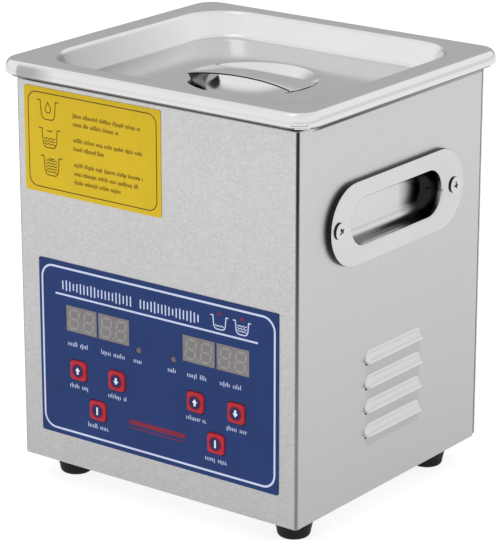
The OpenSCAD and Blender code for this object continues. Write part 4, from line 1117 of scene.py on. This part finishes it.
def build_displays():
    """The four two-digit displays and the two indicator lights."""
    for node in WINDOWS:
        lo, hi = mm_box(node)
        c = (lo + hi) / 2
        o = finish_mesh(node + "_block", block(lo, hi, 0.18), RESIN, 40)
        piece(o, "case", node, slot="display_resin")
        face = at(c.x, lo.y, c.z) @ TO_FRONT
        z = (-0.02, 0.04)
        ink(node + "_digits", "case", "display_resin", SEGMENT, face, *digit(-4.4, z), *digit(4.4, z))
    for node in LIGHTS:
        lo, hi = mm_box(node)
        c = (lo + hi) / 2
        r, deep = 1.7, hi.y - lo.y
        prof = [(0.001, 0.0)] + [(r * math.sin(a), 0.55 - 0.55 * math.cos(a)) for a in arc(12, 90, 8)]
        prof += [(r, deep - 1), (2.1, deep - 1), (2.1, deep), (0.001, deep)]
        lens = place(lathe(prof, 32), at(c.x, lo.y, c.z) @ turn(-90, "X"))
        piece(finish_mesh(node + "_lens", lens, LENS, 40), "case", node, slot="light_resin")


def build_keys():
    """Six square caps, each with a printed ring, disc and mark: an arrow up or down, or a bar."""
    tall = 3.0
    top = tall - INK
    arrow = [(-0.6, -1.7), (0.6, -1.7), (0.6, -0.1), (1.5, -0.1), (0, 1.8), (-1.5, -0.1), (-0.6, -0.1)]
    mark_z = (tall - 0.04, tall)
    for node in KEYS:
        lo, hi = mm_box(node)
        c = (lo + hi) / 2
        w, deep = hi.x - lo.x, hi.y - lo.y
        spec = [(w, 2.0, 0.0), (w, 2.0, tall - 0.75), (w - 0.25, 1.9, tall - 0.4),
                (w - 0.8, 1.75, tall - 0.14), (w - 1.6, 1.6, top - 0.01), (w - 3.6, 1.2, top),
                (w - 7.5, 0.8, top)]
        m = at(c.x, lo.y + tall, c.z) @ TO_FRONT
        cap = loft([lift(round_ring(a, a, r, 8, 3), z) for a, r, z in spec], cap_start=True, cap_end=True)
        stem = lathe([(2.0, 0.1), (2.0, tall - deep + 0.4), (1.6, tall - deep)], 24)
        o = finish_mesh(node + "_cap", place(join(cap, stem), m), KEY_RED, 40)
        piece(o, node, node, slot="key_plastic")
        ink(node + "_disc", node, "key_plastic", KEY_DISC, m, disc(0, 0, 2.75, (top - 0.02, tall - 0.02)))
        ink(node + "_ring", node, "key_plastic", KEY_RING, m, disc(0, 0, 3.5, (top - 0.05, tall - 0.032)))
        if node.endswith("_up"):
            mark = slab(arrow, *mark_z)
        elif node.endswith("_down"):
            mark = slab([(x, -y) for x, y in reversed(arrow)], *mark_z)
        else:
            mark = rect(-0.5, -1.9, 0.5, 1.9, mark_z)
        ink(node + "_mark", node, "key_plastic", WHITE_INK, m, mark)


# ------------------------------------------------------------------ carried-over nodes
def dress(nodes, material):
    for n in nodes:
        o = NODES[n]
        o.data.materials.clear()
        o.data.materials.append(material)


def dress_frame():
    """Looks for the nodes that are shown as they were packed."""
    dress(["base_plate", "basket"], STEEL_CASE)
    dress(["basket_bails", "fan_guard"], STEEL_WIRE)
    dress(["handle_nuts"], STEEL_SCREW)
    dress(["key_switches", "fan_frame", "fan_rotor", "inlet_body", "fuse_drawer"], BLACK)
    dress(["control_board", "driver_board"], BOARD)
    dress(["standoffs", "inlet_pins", "sonic_tabs", "temp_sensor"], BRASS)
    dress(["ribbon_cable", "leads"], CABLE)
    dress(["heater_pads"], SILICONE)
    dress(["thermal_cutout", "sonic_rings"], CERAMIC)
    dress(["transformer", "capacitors", "relay"], COIL)
    dress(["heat_sink", "sonic_front_mass"], ALUMINIUM)
    dress(["sonic_back_mass", "sonic_bolt"], STEEL_TURNED)
    dress(["fuse"], GLASS)


# ------------------------------------------------------------------ stage, light, camera
def aim(o, location, direction):
    """Puts a card, lamp or camera in its place, with its front along a direction."""
    o.location = location
    o.rotation_mode = "QUATERNION"
    o.rotation_quaternion = direction.to_track_quat("-Z", "Y")


def stage_sheet(name, width, depth, material):
    """A flat rectangle that is part of the stage."""
    bm = bmesh.new()
    bmesh.ops.create_grid(bm, x_segments=1, y_segments=1, size=0.5)
    o = link_mesh(name, place(bm, Matrix.Diagonal((width, depth, 1, 1))))
    o.data.materials.append(material)
    return o


def build_stage():
    """A pale floor, and a dark card in front that is seen only as a mirror image."""
    pale, _, bsdf = new_material("pale_floor")
    set_inputs(bsdf, {"Base Color": (0.25, 0.25, 0.25, 1), "Roughness": 0.9, "Specular IOR Level": 0.0,
                      "Emission Color": (1, 1, 1, 1), "Emission Strength": 0.84})
    stage_sheet("floor", 24, 24, pale)
    dark, _, bsdf = new_material("dark_card")
    set_inputs(bsdf, {"Base Color": (0.01, 0.01, 0.01, 1), "Roughness": 1.0, "Specular IOR Level": 0.0})
    az, away, height = math.radians(40), 0.56, 0.04
    spot = Vector((away * math.sin(az), -away * math.cos(az), height))
    flag = stage_sheet("flag", 0.7, 0.07, dark)
    aim(flag, spot, Vector((0, 0, height)) - spot)
    flag.visible_camera = False
    flag.visible_shadow = False
    flag.visible_diffuse = False


def build_world():
    """A bright tent whose low back-left part, which the lid's top mirrors, is grey."""
    world = bpy.data.worlds.new("studio")
    scene.world = world
    world.use_nodes = True
    nt = world.node_tree
    nt.nodes.clear()
    out = nt.nodes.new("ShaderNodeOutputWorld")
    bg = nt.nodes.new("ShaderNodeBackground")
    tc = nt.nodes.new("ShaderNodeTexCoord")
    sep = nt.nodes.new("ShaderNodeSeparateXYZ")
    nt.links.new(tc.outputs["Generated"], sep.inputs[0])

    def ramp(stops):
        r = nt.nodes.new("ShaderNodeValToRGB")
        nt.links.new(sep.outputs[2], r.inputs[0])
        el = r.color_ramp.elements
        while len(el) < len(stops):
            el.new(0.5)
        for e, (p, v) in zip(el, stops):
            e.position = p
            e.color = (v / 2, v / 2, v / 2, 1)
        return r.outputs[0]

    def toward(az):
        d = nt.nodes.new("ShaderNodeVectorMath")
        d.operation = "DOT_PRODUCT"
        nt.links.new(tc.outputs["Generated"], d.inputs[0])
        d.inputs[1].default_value = (math.sin(math.radians(az)), -math.cos(math.radians(az)), 0)
        return d.outputs["Value"]

    open_sky = ramp([(0.0, 0.95), (0.16, 0.88), (0.3, 1.1), (0.6, 1.1), (1.0, 1.0)])
    walls = ramp([(0.0, 0.95), (0.12, 1.1), (0.5, 1.12), (1.0, 1.0)])
    grey = ramp([(0.0, 0.12), (0.1, 0.36), (0.16, 0.5), (0.42, 0.56), (0.75, 1.0), (1.0, 1.0)])

    def mix(fac, a, b):
        n = nt.nodes.new("ShaderNodeMix")
        n.data_type = "RGBA"
        nt.links.new(fac, n.inputs[0])
        nt.links.new(a, n.inputs[6])
        nt.links.new(b, n.inputs[7])
        return n.outputs[2]

    first = mix(spread(nt, toward(-40), 0, 1, 0.45, 0.85), open_sky, walls)
    both = mix(spread(nt, toward(-143), 0, 1, 0.70, 0.90), first, grey)
    nt.links.new(both, bg.inputs[0])
    bg.inputs[1].default_value = 2.0
    nt.links.new(bg.outputs[0], out.inputs[0])


def build_lamp():
    lamp = bpy.data.lights.new("overhead", "AREA")
    lamp.shape = "RECTANGLE"
    lamp.size = 1.2
    lamp.size_y = 1.2
    lamp.energy = 1.5
    o = bpy.data.objects.new("overhead", lamp)
    scene.collection.objects.link(o)
    spot = Vector((-0.4, -0.6, 2.2))
    aim(o, spot, Vector((0, 0, 0.1)) - spot)


def build_camera():
    """The photograph's viewpoint, solved from the object's corners."""
    az, el = math.radians(36.99), math.radians(17.99)
    target = Vector((-1.32, 0.55, 100.30)) * MM
    dist = 1319 * MM
    cam = bpy.data.cameras.new("camera")
    cam.sensor_width = 36.0
    cam.lens = 183.9
    cam.clip_start = 0.05
    cam.clip_end = 100
    o = bpy.data.objects.new("camera", cam)
    scene.collection.objects.link(o)
    back = Vector((math.sin(az) * math.cos(el), -math.cos(az) * math.cos(el), math.sin(el)))
    aim(o, target + back * dist, -back)
    scene.camera = o


build_camera()
build_stage()
build_world()
build_lamp()
scene.view_settings.view_transform = "Standard"
scene.view_settings.look = "None"

build_case()
build_back()
build_lid()
build_strap()
build_tank()
build_feet()
build_handles()
build_screws()
build_label()
build_overlay()
build_displays()
build_keys()
dress_frame()
